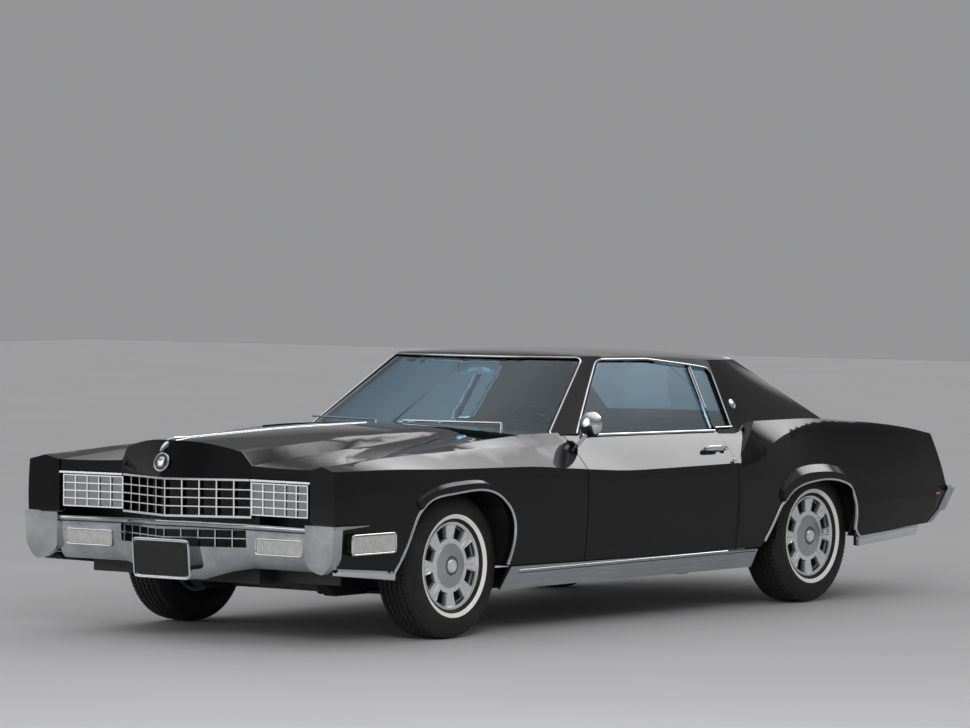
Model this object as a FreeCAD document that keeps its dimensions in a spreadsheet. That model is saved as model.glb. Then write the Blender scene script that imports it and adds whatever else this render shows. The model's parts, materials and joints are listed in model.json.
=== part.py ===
import FreeCAD, Part
import math
import os
import re
import Sketcher
from FreeCAD import Vector

# Full-size two-door hardtop coupe of the late 1960s, front-wheel drive, with a pointed
# egg-crate grille and concealed headlamps.
# X runs to the car's left, Y rearward from the front axle, Z up from the ground.

os.makedirs("parts", exist_ok=True)
doc = FreeCAD.newDocument("coupe")

# Driving dimensions in millimetres and degrees
dimensions = {
    "overall_length": 5587,
    "front_overhang": 1130,
    "wheelbase": 3048,
    "front_track": 1613,
    "rear_track": 1600,
    "half_width": 1010,
    "roof_height": 1356,
    "tyre_radius": 353,
    "tyre_width": 230,
    "tread_width": 178,
    "bead_radius": 191,
    "rim_width": 140,
    "cover_slot_width": 54,
    "cover_slot_length": 46,
    "cover_slot_radius": 135,
    "cover_slots": 8,
    "hub_radius": 62,
    "drum_radius": 128,
    "kingpin_inset": 90,
    "panel_gap": 6,
    "skin": 28,
    "fender_wall": 45,
    "door_front": 949,
    "door_length": 1280,
    "door_inner": 820,
    "door_bottom": 326,
    "hinge_line": 1000,
    "hinge_setback": 60,
    "glass_thickness": 6,
    "roof_wall": 34,
    "hood_rear": 598,
    "lid_front": 3598,
    "lid_half_width": 700,
    "grille_bar": 5,
    "grille_depth": 34,
    "grille_columns": 5,
    "grille_rows": 4,
    "lamp_door_inner": 409,
    "lamp_door_outer": 780,
    "lamp_door_bottom": 617,
    "lamp_door_top": 772,
    "lamp_door_thickness": 14,
    "lamp_axis_setback": 112,
    "lamp_axis_height": 696,
    "lamp_radius": 73,
    "column_angle": 24,
    "steering_wheel_radius": 203,
    "steering_wheel_x": 372,
    "steering_wheel_y": 1395,
    "steering_wheel_z": 905,
    "wheelhouse_radius": 436,
    "wheelhouse_wall": 5,
    "jack_pad_height": 6,
    "rail_height": 90,
    "rail_width": 70,
    "floor_height": 292,
    "floor_thickness": 10,
    "running_gap": 0.3,
    "axle_beam_radius": 36,
    "drum_width": 60,
    "drum_set": 27.7,
    "hub_reach": 20,
    "upright_radius": 28,
    "upright_height": 267.4,
    "hub_neck_radius": 30,
    "hub_neck": 32,
    "shaft_radius": 22,
    "shaft_end_gap": 14,
    "engine_half": 270,
    "engine_front": -520,
    "engine_length": 820,
    "engine_foot": 320,
    "engine_height": 500,
    "support_y": -704,
    "support_thickness": 12,
    "support_half_width": 786,
    "core_half_width": 380,
    "core_depth": 108,
    "core_height": 502,
    "tank_length": 400,
    "tank_width": 760,
    "tank_foot": 330,
    "trunk_floor": 515,
    "rim_section": 12,
    "column_radius": 32,
    "column_length": 604,
    "seat_half_width": 660,
    "rear_seat_half_width": 620,
    "dash_half_width": 790,
    "mirror_head_radius": 64,
    "mirror_head_depth": 30,
    "pipe_radius": 28,
}
sheet = doc.addObject("Spreadsheet::Sheet", "sizes")
for row, (alias, value) in enumerate(dimensions.items(), start=1):
    sheet.set(f"A{row}", alias)
    sheet.set(f"B{row}", str(value))
    sheet.setAlias(f"B{row}", alias)
doc.recompute()


def size(alias):
    return float(getattr(sheet, alias))


gap = size("panel_gap")
skin = size("skin")
half_width = size("half_width")
rear_axle_y = size("wheelbase")
wheel_z = size("tyre_radius")
middle = size("overall_length") / 2 - size("front_overhang")
body_middle = FreeCAD.Placement(Vector(0, -middle, 0), FreeCAD.Rotation())
pieces = []


def keep(item, label):
    item.Label = label
    pieces.append(item)
    return item


def piece(label, shape):
    item = doc.addObject("Part::Feature", label)
    item.Shape = shape
    item.Placement = body_middle.multiply(shape.Placement)
    return keep(item, label)


middle_text = "sizes.overall_length / 2 - sizes.front_overhang"


def bound(item, sizes, place=None):
    """Ties properties, and the place in source axes, to expressions of the sheet."""
    for name, text in sizes.items():
        item.setExpression(name, text)
    for letter, text in zip("xyz", place or ()):
        item.setExpression(f"Placement.Base.{letter}", text)
    return item


def primitive(kind, label, place, sizes, turn=None):
    item = doc.addObject(f"Part::{kind}", label)
    if turn:
        item.Placement = FreeCAD.Placement(Vector(), turn)
    return bound(item, sizes, place)


def round_bar(label, place, radius, length, turn):
    return primitive("Cylinder", label, place, {"Radius": radius, "Height": length}, turn)


def block(label, place, length, width, height):
    return primitive("Box", label, place, {"Length": length, "Width": width, "Height": height})


def joined(label, items, joint="Part::MultiFuse"):
    """Node made of document parts laid out in source axes, moved into the row's frame as one."""
    item = doc.addObject(joint, label)
    setattr(item, "Links" if joint == "Part::Compound" else "Shapes", items)
    return keep(bound(item, {}, ("0", f"-({middle_text})", "0")), label)


def part_body(label, place, turn=None):
    item = doc.addObject("PartDesign::Body", label)
    if turn:
        item.Placement = FreeCAD.Placement(Vector(), turn)
    return keep(bound(item, {}, place), label)


def flat_sketch(body, label, plane, points):
    """Closed sketch on an origin plane; each corner's two distances follow expressions of the sheet."""
    item = doc.addObject("Sketcher::SketchObject", label)
    body.addObject(item)
    origin = {entry.Role: entry for entry in body.Origin.OriginFeatures}
    item.AttachmentSupport = (origin[plane], [""])
    item.MapMode = "FlatFace"
    doc.recompute()
    places = [Vector(*(float(sheet_value(text)) for text in point), 0) for point in points]
    count = len(places)
    for index in range(count):
        item.addGeometry(Part.LineSegment(places[index], places[(index + 1) % count]), False)
    for index in range(count):
        item.addConstraint(Sketcher.Constraint("Coincident", index, 2, (index + 1) % count, 1))
    for index, point in enumerate(points):
        for kind, text in zip(("DistanceX", "DistanceY"), point):
            number = item.addConstraint(Sketcher.Constraint(kind, -1, 1, index, 1, float(sheet_value(text))))
            item.setExpression(f"Constraints[{number}]", text)
    return item


def sheet_value(text):
    """Number that an expression of the sheet has now."""
    words = re.sub(r"sizes\.([a-z_]+)", lambda found: str(size(found.group(1))), text)
    total = FreeCAD.Units.Quantity(words)
    return total.Value


def mirrored(shape):
    return shape.mirror(Vector(0, 0, 0), Vector(1, 0, 0))


def both_sides(shape):
    return Part.Compound([shape, mirrored(shape)])


def whole(shape):
    return shape.fuse(mirrored(shape)).removeSplitter()


def pair(name, shape):
    piece(name + "_left", shape)
    piece(name + "_right", mirrored(shape))


def box(x0, x1, y0, y1, z0, z1):
    return Part.makeBox(x1 - x0, y1 - y0, z1 - z0, Vector(x0, y0, z0))


def rod(radius, start, end):
    direction = Vector(*end) - Vector(*start)
    return Part.makeCylinder(radius, direction.Length, Vector(*start), direction)


def fused(shapes):
    return shapes[0].fuse(shapes[1:]).removeSplitter()


def spot(axis, a, b, level):
    places = {"x": (level, a, b), "y": (a, level, b), "z": (a, b, level)}
    return Vector(*places[axis])


def outline(axis, level, points):
    """Closed wire in the plane across an axis; a point marked True pulls a curved edge between its neighbours."""
    corners = [(spot(axis, *point[:2], level), len(point) > 2) for point in points]
    edges = []
    count = len(corners)
    for index, (corner, pulled) in enumerate(corners):
        after, after_pulled = corners[(index + 1) % count]
        if pulled:
            continue
        if after_pulled:
            curve = Part.BezierCurve()
            curve.setPoles([corner, after, corners[(index + 2) % count][0]])
            edges.append(curve.toShape())
        else:
            edges.append(Part.LineSegment(corner, after).toShape())
    return Part.Wire(edges)


def prism(axis, start, end, points):
    return Part.Face(outline(axis, start, points)).extrude(spot(axis, 0, 0, end - start))


def loft(axis, sections):
    return Part.makeLoft([outline(axis, level, points) for level, points in sections], True, False)


def ruled(axis, sections):
    return Part.makeLoft([outline(axis, level, points) for level, points in sections], True, True)


def smooth_at(stations, place):
    """Value on a smooth curve through (place, value...) stations, with no overshoot between them."""
    last = len(stations) - 1
    index = 0
    while index < last - 1 and place > stations[index + 1][0]:
        index += 1
    here, after = stations[index], stations[index + 1]
    run = after[0] - here[0]
    part = min(max((place - here[0]) / run, 0.0), 1.0)
    values = []
    for k in range(1, len(here)):
        steps = [(stations[i + 1][k] - stations[i][k]) / (stations[i + 1][0] - stations[i][0])
                 for i in range(last)]
        slopes = []
        for i in (index, index + 1):
            before_step, after_step = steps[max(i - 1, 0)], steps[min(i, last - 1)]
            rising = before_step * after_step > 0
            slopes.append(2 * before_step * after_step / (before_step + after_step) if rising else 0)
        cubic = part * part * (3 - 2 * part)
        values.append(here[k] + (after[k] - here[k]) * cubic
                      + run * part * (1 - part) * ((1 - part) * slopes[0] - part * slopes[1]))
    return values


# Lines along the body side as (y, x, z), left side
seam_line = [(-1010, 800, 838), (-700, 801, 862), (-300, 806, 893), (100, 812, 925), (450, 816, 950),
             (700, 826, 960), (943, 852, 948), (1200, 868, 941), (1650, 868, 938), (2235, 868, 932),
             (2700, 862, 930)]
peak_line = [(-1010, 880, 862), (-700, 884, 876), (-280, 888, 897), (200, 892, 906), (560, 895, 908),
             (943, 900, 903), (1650, 906, 896), (2235, 906, 893), (2700, 900, 893)]
crease_line = [(-1010, 962, 842), (-800, 980, 842), (-600, 990, 841), (-214, 998, 829), (100, 1002, 823),
               (470, 1004, 817), (900, 1005, 790), (1377, 1005, 768), (2205, 1004, 772), (2700, 1002, 775)]
hip_seam_line = [(2200, 850, 960), (2521, 850, 966), (2906, 848, 968), (3529, 840, 937), (3981, 830, 893),
                 (4190, 826, 861), (4500, 820, 835)]
hip_peak_line = [(2200, 893, 972), (2521, 895, 976), (2906, 900, 977), (3529, 900, 943), (3981, 893, 897),
                 (4190, 885, 863), (4500, 870, 836)]
hip_crease_line = [(2200, 1005, 745), (2306, 1002, 757), (2440, 996, 800), (2600, 978, 872), (2826, 944, 921),
                   (3102, 916, 947), (3529, 908, 930), (3981, 900, 882), (4190, 892, 848), (4500, 877, 821)]
bulge_line = [(-1010, 985, 600), (-800, 1002, 600), (-400, 1016, 600), (0, 1017, 600), (3300, 1017, 600),
              (3700, 1010, 600), (4100, 986, 600), (4500, 955, 600)]
foot_line = [(-1010, 945, 400), (-800, 962, 384), (-400, 978, 353), (0, 985, 345), (353, 985, 341),
             (943, 985, 336), (2235, 985, 326), (2600, 985, 330), (3384, 985, 344), (3963, 968, 373),
             (4500, 930, 395)]


def side_section(y, lines, inner, tuck):
    """Wall section from the hood or belt seam round the shoulder and crease to the foot, and back inside."""
    seam, peak, crease = ((x - tuck, z - tuck) for x, z in (smooth_at(line, y) for line in lines))
    bulge, foot = ((x - tuck, z) for x, z in (smooth_at(line, y) for line in (bulge_line, foot_line)))
    wall = size("fender_wall") - 2 * tuck
    outer = [seam, peak, crease, [*bulge, True], foot]
    if inner:
        return outer + [(inner, foot[1]), (inner, seam[1])]
    return outer + [(foot[0] - wall, foot[1]), (bulge[0] - wall, bulge[1], True),
                    (crease[0] - wall, crease[1] - skin), (peak[0] - skin, peak[1] - skin),
                    (seam[0], seam[1] - skin)]


def stations_between(start, end, step):
    count = max(2, math.ceil((end - start) / step))
    return [start + (end - start) * k / count for k in range(count + 1)]


def side_wall(start, end, lines, inner=None, tuck=0):
    places = stations_between(start, end, 160)
    return loft("y", [(y, side_section(y, lines, inner, tuck)) for y in places])


front_lines = (seam_line, peak_line, crease_line)
hip_lines = (hip_seam_line, hip_peak_line, hip_crease_line)
front_arch = [(-560, 320), (-456, 471), (-341, 665), (-107, 715), (220, 698), (365, 566), (344, 371), (310, 300)]
rear_arch = [(2436, 300), (2562, 442), (2700, 600), (2900, 655), (3180, 645), (3330, 565), (3345, 400), (3300, 290)]


def arch_cut(points, grow):
    """Wheel opening as a block across the side, its top a curve through the points and its foot below the car."""
    middle_y = (points[0][0] + points[-1][0]) / 2
    places = []
    for y, z in points:
        away = Vector(y - middle_y, z - wheel_z)
        places.append(Vector(0, y, z) + Vector(0, away.x, away.y) * (grow / away.Length))
    curve = Part.BSplineCurve()
    curve.interpolate(places)
    foot = [places[-1] - Vector(0, 0, 200), places[0] - Vector(0, 0, 200)]
    edges = [curve.toShape(), Part.LineSegment(places[-1], foot[0]).toShape(),
             Part.LineSegment(*foot).toShape(), Part.LineSegment(foot[1], places[0]).toShape()]
    return Part.Face(Part.Wire(edges)).extrude(Vector(1200, 0, 0))


# Front of the fenders, hood and lamps in plan
prow_y = -1098
grille_prow_y = -1064
prow_lean = 0.314
prow_height = 794
lamp_inner_y = -907
lamp_outer_y = -931
fender_inner = 798
fender_inner_y = -939
fender_outer_y = -969
lamp_inner = size("lamp_door_inner")
lamp_outer = size("lamp_door_outer")


def front_slab(back):
    """Everything ahead of the nose line, moved rearward; the prow leans back above the lip."""
    ahead = -1400
    sections = []
    for z in (600, 1100):
        prow = prow_y + (z - prow_height) * prow_lean
        sections.append((z, [(0, prow + back), (lamp_inner, lamp_inner_y + back),
                             (fender_inner + 20, lamp_outer_y + back), (fender_inner + 20, ahead), (0, ahead)]))
    return ruled("z", sections)


def fender_front_slab():
    points = [(fender_inner - 10, fender_inner_y + 2), (half_width, fender_outer_y - 8), (half_width, -1400),
              (fender_inner - 10, -1400)]
    return prism("z", 100, 1300, points)


def front_fender():
    rear = size("door_front") - gap
    wall = side_wall(-1010, rear, front_lines)
    face = side_wall(-1010, -910, front_lines, fender_inner)
    shape = wall.fuse(face).cut(fender_front_slab()).cut(arch_cut(front_arch, 0))
    behind_bumper = box(700, 1100, -1100, bumper_back, 300, 592)
    spear = prism("x", 940, 1100, [(-1100, 571), (bumper_back, 571), (spear_tip + 3, 580), (spear_tip + 3, 587),
                                   (bumper_back, 593), (-1100, 593)])
    return shape.fuse(flare(front_brow)).cut(arch_cut(front_arch, 0)).cut(behind_bumper).cut(spear).cut(corner_lamp(0))


def flare(brow):
    """Raised lip over a wheel opening: a wide outline on the side, a lower one on the lip's face."""
    wires = []
    for x, points in ((982, brow[0]), (half_width + 5.5, brow[1])):
        curve = Part.BSplineCurve()
        curve.interpolate([Vector(x, y, z) for y, z in points])
        first, last = Vector(x, *points[0]), Vector(x, *points[-1])
        wires.append(Part.Wire([curve.toShape(), Part.LineSegment(last, first).toShape()]))
    return Part.makeLoft(wires, True, True)


front_brow = ([(-352, 640), (-408, 682), (-330, 744), (-223, 777), (-27, 799), (172, 774), (275, 712), (308, 650)],
              [(-348, 640), (-386, 674), (-308, 716), (-212, 738), (-27, 752), (162, 738), (252, 690), (302, 650)])
rear_brow = ([(2640, 545), (2612, 600), (2690, 680), (2800, 722), (2960, 738), (3120, 728), (3240, 690), (3318, 590)],
             [(2650, 552), (2634, 598), (2706, 656), (2808, 690), (2960, 700), (3112, 692), (3222, 662), (3306, 590)])
bumper_back = -918
spear_tip = -738


def corner_lamp(inset):
    return box(975 + inset, 1002, -876 + inset, -550 - inset, 450 + inset, 545 - inset)


def kick_slab(back):
    """Everything ahead of the slanted front edge of the rear hip, moved rearward by the given distance."""
    edge = [(2243, 300), (2250, 773), (2521, 976), (2521, 1100)]
    return prism("x", 0, 1100, [(2000, 300)] + [(y + back, z) for y, z in edge] + [(2000, 1100)])


def tail_solid(back):
    """Everything behind the tail face, which is pointed in plan and undercut below the bumper."""
    profile = [(4190, 900), (4271, 585), (4298, 561), (4201, 450), (4077, 371), (3938, 300)]
    sections = []
    for x, push in ((0, 130), (1100, -10)):
        points = [(y + push + back, z) for y, z in profile]
        sections.append((x, points + [(4900, 250), (4900, 1000)]))
    return ruled("x", sections)


def door_radius():
    return size("door_length") - size("hinge_setback")


def door_sweep(extra):
    hinge_y = size("door_front") + size("hinge_setback")
    return Part.makeCylinder(door_radius() + extra, 1400, Vector(size("hinge_line"), hinge_y, 0))


def quarter_panel():
    front = size("door_front") + size("door_length") - 90
    low = side_wall(front, 2700, front_lines, tuck=1.5).cut(door_sweep(gap)).common(kick_slab(12))
    hip = side_wall(2200, 4500, hip_lines).cut(kick_slab(0)).cut(tail_solid(0))
    hip = hip.fuse(flare(rear_brow)).cut(arch_cut(rear_arch, 0))
    lamp_pocket = tail_solid(-20 - size("running_gap")).common(tail_lamp_zone(size("running_gap")))
    return low.fuse(hip.cut(lamp_pocket)).removeSplitter()


def tail_lamp_zone(grow):
    return box(860 - grow, 882 + grow, 3900, 4900, 600 - grow, 830 + grow)


door_bottom_rear = 326


def door_section(y):
    seam, peak, crease = (smooth_at(line, y) for line in front_lines)
    bulge = smooth_at(bulge_line, y)
    foot = smooth_at(foot_line, y)
    inner = size("door_inner")
    low = foot[1] + size("door_bottom") - door_bottom_rear
    return [seam, peak, crease, [*bulge, True], (foot[0], low), (inner + 30, low), (inner, 420), (inner, seam[1])]


def door():
    start = size("door_front")
    end = start + size("door_length") + 30
    shape = loft("y", [(y, door_section(y)) for y in stations_between(start, end, 160)])
    depth = size("glass_thickness") + 8
    play = size("running_gap")
    slot = greenhouse(depth - play).cut(greenhouse(depth + size("glass_thickness") + play))
    slot = slot.common(box(700, 1000, 1067, 2206, 904, 1000))
    return shape.common(door_sweep(0)).cut(slot)


# Greenhouse: plan outline at two heights, left half, centre of the windshield first
green_low = 900
green_high = 1400


def green_outline(inset):
    low = [(0, 440 + inset), (600, 440 + inset, True), (826 - inset * 0.8, 900 + inset * 0.6),
           (889 - inset, 990), (889 - inset, 2370), (848 - inset, 2900, True), (770 - inset * 0.9, 3480 - inset),
           (400, 3640 - inset, True), (0, 3640 - inset)]
    high = [(0, 1420 + inset), (470, 1420 + inset, True), (583 - inset * 0.8, 1545 + inset * 0.6),
            (600 - inset, 1640), (600 - inset, 2450), (570 - inset, 2560, True), (500 - inset * 0.9, 2600 - inset),
            (260, 2700 - inset, True), (0, 2700 - inset)]
    return low, high


def glass_curve(first, z, inset, start, end):
    """Stretch of the curved outline that begins at the given point, at one height, from share to share."""
    part = (z - green_low) / (green_high - green_low)
    low, high = green_outline(inset)
    a, b, c = (Vector(*(low[k][i] + (high[k][i] - low[k][i]) * part for i in (0, 1)), 0)
               for k in (first, first + 1, first + 2))

    def at(s, t):
        return a * ((1 - s) * (1 - t)) + b * (s + t - 2 * s * t) + c * (s * t)
    return [(point.x, point.y) for point in (at(start, start), at(start, end), at(end, end))]


def pane(first, bottom, top, outer, inner, start, end):
    """Curved pane between two heights, two insets and two shares of its outline."""
    sections = []
    for z in (bottom, top):
        near = glass_curve(first, z, outer, start, end)
        far = glass_curve(first, z, inner, start, end)
        sections.append((z, [near[0], (*near[1], True), near[2], far[2], (*far[1], True), far[0]]))
    return ruled("z", sections)


roof_line = [(1150, 1306, 1290), (1300, 1332, 1312), (1500, 1349, 1318), (1900, 1356, 1306), (2400, 1345, 1280),
             (2829, 1316, 1250), (3200, 1270, 1210)]


def roof_under(drop):
    """Everything below the roof skin, crowned across and along."""
    peak = max(station[1] for station in roof_line)
    lift = size("roof_height") - peak - drop
    sections = []
    for y in stations_between(400, 3800, 200):
        crown, edge = smooth_at(roof_line, y)
        sections.append((y, [(0, 800), (0, crown + lift), (480, crown + lift, True), (720, edge + lift), (960, 800)]))
    return loft("y", sections)


def cabin_walls(inset):
    low, high = green_outline(inset)
    return ruled("z", [(green_low, low), (green_high, high)])


def greenhouse(inset):
    return cabin_walls(inset).common(roof_under(inset))


def window(axis, start, end, points, inset):
    """Window opening pushed through a wall along an axis, its outline drawn in by the inset."""
    wire = outline(axis, start, points)
    if inset:
        wire = wire.makeOffset2D(-inset)
    return Part.Face(wire).extrude(spot(axis, 0, 0, end - start))


door_window = [(1060, 900), (1060, 952), (1495, 1306), (1900, 1300), (2247, 1264), (2207, 900)]
door_glass_outline = [(1068, 905), (1068, 955), (1502, 1300), (1900, 1294), (2240, 1258), (2200, 905)]
quarter_window = [(2213, 952), (2253, 1262), (2405, 1243), (2360, 952)]
windshield_start = 0
windshield_end = 0.93
rear_window_start = 0.06
rear_window_end = 1
glass_set = size("glass_thickness") + 8
pane_slip = 0.0003


def windshield_pane(bottom, top, outer, inner, slip):
    return pane(0, bottom, top, outer, inner, windshield_start, windshield_end - slip)


def rear_window_pane(bottom, top, outer, inner, slip):
    return pane(6, bottom, top, outer, inner, rear_window_start + slip, rear_window_end)


outer_green = greenhouse(0)
inner_green = greenhouse(size("roof_wall"))
glass_green = greenhouse(glass_set)
glass_inner_green = greenhouse(glass_set + size("glass_thickness"))
glass_shell = glass_green.cut(glass_inner_green)


def roof_panel():
    shell = outer_green.cut(inner_green)
    shell = shell.cut(window("x", 300, 1100, door_window, 0)).cut(window("x", 300, 1100, quarter_window, 0))
    shell = shell.cut(box(0, 1000, 300, 2236, 800, 952)).cut(box(0, 1000, 3000, 3900, 800, 930))
    shell = shell.cut(windshield_pane(880, 1316, -25, 70, 0)).cut(rear_window_pane(978, 1288, -25, 70, 0))
    return whole(shell.cut(quarter_solid))


# Lower body pieces between the sides
hood_side_gap = gap
dome_top_line = [(-1200, 362, 905), (-930, 365, 915), (-600, 380, 938), (-200, 405, 958), (200, 440, 975), (640, 480, 985)]
dome_foot_line = [(-1200, 415, 838), (-930, 412, 850), (-600, 432, 880), (-200, 462, 914), (200, 500, 948), (640, 560, 978)]
centre_line = [(-1200, 0, 950), (-1000, 0, 968), (-600, 0, 984), (0, 0, 1001), (640, 0, 1006)]


def hood_section(y):
    top = smooth_at(dome_top_line, y)
    foot = smooth_at(dome_foot_line, y)
    centre = smooth_at(centre_line, y)
    seam = smooth_at(seam_line, y)
    side = (seam[0] - hood_side_gap, seam[1])
    valley = (0.5 * (foot[0] + side[0]), min(foot[1], side[1]) - 4, True)
    under = skin
    return [centre, (top[0] * 0.55, centre[1] - 2, True), top, foot, valley, side, (side[0], side[1] - under),
            (valley[0], valley[1] - under, True), (foot[0], foot[1] - under), (top[0] - 10, top[1] - under),
            (0, centre[1] - under)]


def hood():
    places = stations_between(-1180, 640, 140)
    top = loft("y", [(y, hood_section(y)) for y in places])
    shape = top.cut(front_slab(-2))
    rear = prism("z", 500, 1200, [(0, 465), (430, 480, True), (830, size("hood_rear")), (830, 900), (0, 900)])
    face = hood_face()
    return whole(shape.cut(rear).fuse(face))


def hood_face():
    """Front wall of the hood above the grille, from the lip up to the dome and the outer valleys."""
    solid = []
    for y in stations_between(-1180, -820, 120):
        points = hood_section(y)
        solid.append((y, points[:6] + [(points[5][0], nose_lip), (0, nose_lip)]))
    return loft("y", solid).cut(front_slab(-2)).common(front_slab(-2 + 12))


def cowl_panel():
    low = prism("z", 900, 1100, [(0, 471), (430, 486, True), (830, size("hood_rear") + gap), (845, 940), (0, 940)])
    section = [(0, 976), (0, 1004), (420, 1000, True), (820, 962), (845, 940), (845, 930), (800, 932),
               (420, 972, True)]
    shape = prism("y", 400, 950, section).common(low)
    return whole(shape.cut(outer_green).cut(fender_solid))


def deck_height(y):
    return smooth_at([(3300, 958), (3600, 950), (3981, 915), (4190, 878), (4500, 845)], y)[0]


def deck_block(start, end, x0, x1, thickness):
    sections = []
    for y in stations_between(start, end, 130):
        centre = deck_height(y)
        edge = smooth_at(hip_seam_line, y)[1]
        rise = centre - edge
        points = []
        for x in (x0, x1):
            share = (x / 826) ** 2
            points.append((x, centre - rise * share))
        pull = (0.5 * (x0 + x1), centre - rise * (x0 * x1 / 826 ** 2), True)
        sections.append((y, [points[0], pull, points[1], (x1, points[1][1] - thickness),
                             (pull[0], pull[1] - thickness, True), (x0, points[0][1] - thickness)]))
    return loft("y", sections)


def trunk_lid():
    lid = deck_block(size("lid_front"), 4500, 0, size("lid_half_width"), skin)
    return whole(lid.cut(tail_solid(-26 - gap)))


def deck_panel():
    """Fixed panel round the trunk opening and under the rear window."""
    deck = deck_block(3080, 4500, 0, 838, skin)
    opening = box(-10, size("lid_half_width") + gap, size("lid_front") - gap, 4700, 700, 1100)
    shape = deck.cut(opening).cut(tail_solid(-26)).cut(quarter_solid)
    return whole(shape.cut(outer_green))


def tail_panel():
    """Rear wall between the quarters, pointed in plan like the bumper below it."""
    wall = tail_solid(-26).cut(tail_solid(-4))
    keep_zone = box(0, 860, 3900, 4900, 580, 836)
    return whole(wall.common(keep_zone).cut(quarter_solid))


def grille_line(x):
    """Front face of the grille in plan: a straight wing from the prow to each lamp door."""
    return grille_prow_y + (lamp_inner_y - grille_prow_y) * min(x, lamp_inner) / lamp_inner


def strip(x0, x1, z0, z1, front, depth):
    """Bar between two points of a nose line in plan."""
    y0, y1 = front(x0), front(x1)
    return prism("z", z0, z1, [(x0, y0), (x1, y1), (x1, y1 + depth), (x0, y0 + depth)])


def egg_crate(x0, x1, z0, z1, columns, rows, front, depth):
    bar = size("grille_bar")
    bars = []
    for row in range(1, rows):
        z = z0 + (z1 - z0) * row / rows
        bars.append(strip(x0, x1, z - bar / 2, z + bar / 2, front, depth))
    for column in range(columns + 1):
        x = x0 + (x1 - x0) * column / columns
        bars.append(strip(max(x - bar / 2, x0), min(x + bar / 2, x1), z0, z1, front, depth))
    return bars


grille_bottom = 612
grille_top = 778
nose_lip = 792


def grille():
    bars = egg_crate(0, lamp_inner - gap, grille_bottom, grille_top, int(size("grille_columns")),
                     int(size("grille_rows")), grille_line, size("grille_depth"))
    header = strip(0, lamp_inner - gap, grille_top, grille_top + 9, lambda x: grille_line(x) - 3, 40)
    sill = strip(0, lamp_inner - gap, grille_bottom - 10, grille_bottom, grille_line, 40)
    wing_end = fender_inner - size("running_gap")
    wing = prism("z", grille_top, grille_top + 9, [(lamp_inner - gap, lamp_inner_y - 8), (wing_end, lamp_outer_y - 8),
                                                   (wing_end, lamp_outer_y - 1), (lamp_inner - gap, lamp_inner_y - 1)])
    return whole(fused(bars + [header, sill, wing]))


def lamp_line(x):
    share = (x - lamp_inner) / (lamp_outer - lamp_inner)
    return lamp_inner_y + (lamp_outer_y - lamp_inner_y) * share


def lamp_door():
    thickness = size("lamp_door_thickness")
    bottom, top = size("lamp_door_bottom"), size("lamp_door_top")
    back = strip(lamp_inner, lamp_outer, bottom, top, lambda x: lamp_line(x) + 6, thickness - 6)
    bars = egg_crate(lamp_inner, lamp_outer, bottom, top, int(size("grille_columns")), 4, lamp_line, 8)
    setback, axis_z = size("lamp_axis_setback"), size("lamp_axis_height")
    arms = []
    for x in (lamp_inner + 4, lamp_outer - 10):
        y = lamp_line(x) + size("lamp_door_thickness")
        arms.append(prism("x", x, x + 6, [(y - 4, axis_z - 26), (y - 4, axis_z + 26),
                                          (lamp_line(x) + setback, axis_z + 9), (lamp_line(x) + setback, axis_z - 9)]))
    along = (lamp_outer_y - lamp_inner_y) / (lamp_outer - lamp_inner)
    for x in (lamp_inner + 4, lamp_outer - 4):
        y = lamp_line(x) + setback
        reach = 12 if x < 600 else -12
        arms.append(rod(9, (x, y, axis_z), (x + reach, y + reach * along, axis_z)))
    return fused([back] + bars + arms)


def headlamps():
    lamps = []
    z = (size("lamp_door_bottom") + size("lamp_door_top")) / 2
    for x in (504, 686):
        y = lamp_line(x) + 64
        bucket = rod(size("lamp_radius"), (x, y, z), (x, y + 46, z))
        neck = rod(42, (x, y + 40, z), (x, size("support_y") - size("running_gap"), z))
        lamps.append(bucket.fuse(neck))
    return both_sides(Part.Compound(lamps))


def bumper_section(nose_y, top_z, foot_z, tuck, lean):
    """Upright section of the front bumper: rounded upper band, a face leaning back below it, a foot that tucks in."""
    y, band = nose_y, top_z - 22
    low = foot_z + 70
    return [(y + 44, top_z + 1), (y + 12, top_z + 1), (y, top_z, True), (y, top_z - 12), (y + 3, band),
            (y + 9, band - 4), (y + 6 + 0.7 * lean, 0.5 * (band + low), True), (y + 14 + lean, low),
            (y + 24 + lean, foot_z + 14, True), (y + tuck + lean, foot_z), (y + tuck + lean + 14, foot_z + 6),
            (y + 40 + lean, low, True), (y + 36, band), (y + 44, top_z - 14)]


def front_bumper():
    """Band with a pointed middle under the grille, and an upright shield-shaped cap at each end."""
    rows = [(0, -1130, 589, 305, 46, 54), (165, -1052, 585, 305, 50, 42), (300, -987, 579, 345, 50, 20),
            (404, -938, 576, 364, 58, 2), (cap_inner + 4, -952, 573, 364, 58, 0)]
    shape = ruled("x", [(x, bumper_section(y, top, foot, tuck, lean)) for x, y, top, foot, tuck, lean in rows])
    opening = box(-1, lower_opening_half, -1300, -880, lower_opening[0], lower_opening[1])
    lamp = box(turn_lamp[0], turn_lamp[1], -1300, -880, turn_lamp[2], turn_lamp[3])
    shape = shape.cut(opening).cut(lamp)
    face = [(cap_inner, 588), (cap_inner + 1, 433), (cap_inner + 8, 375, True), (905, 360), (948, 376, True),
            (974, 442), (984, 588)]
    shield = ruled("y", [(-1010, face), (bumper_back - 0.3, face)])
    front = prism("z", 300, 700, [(cap_inner - 5, -963), (cap_inner + 70, -976), (984, -985), (1000, -960),
                                  (1000, bumper_back - 0.3), (cap_inner - 5, bumper_back - 0.3)])
    cap = shield.common(front).cut(box(cap_inner + 12, 940, -945, -900, 300, 560))
    spear = prism("x", 960, 994, [(-975, 572), (bumper_back - 0.3, 572), (spear_tip, 582), (spear_tip, 585),
                                  (bumper_back - 0.3, 588), (-975, 588)])
    return whole(fused([shape, cap, spear]))


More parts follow.
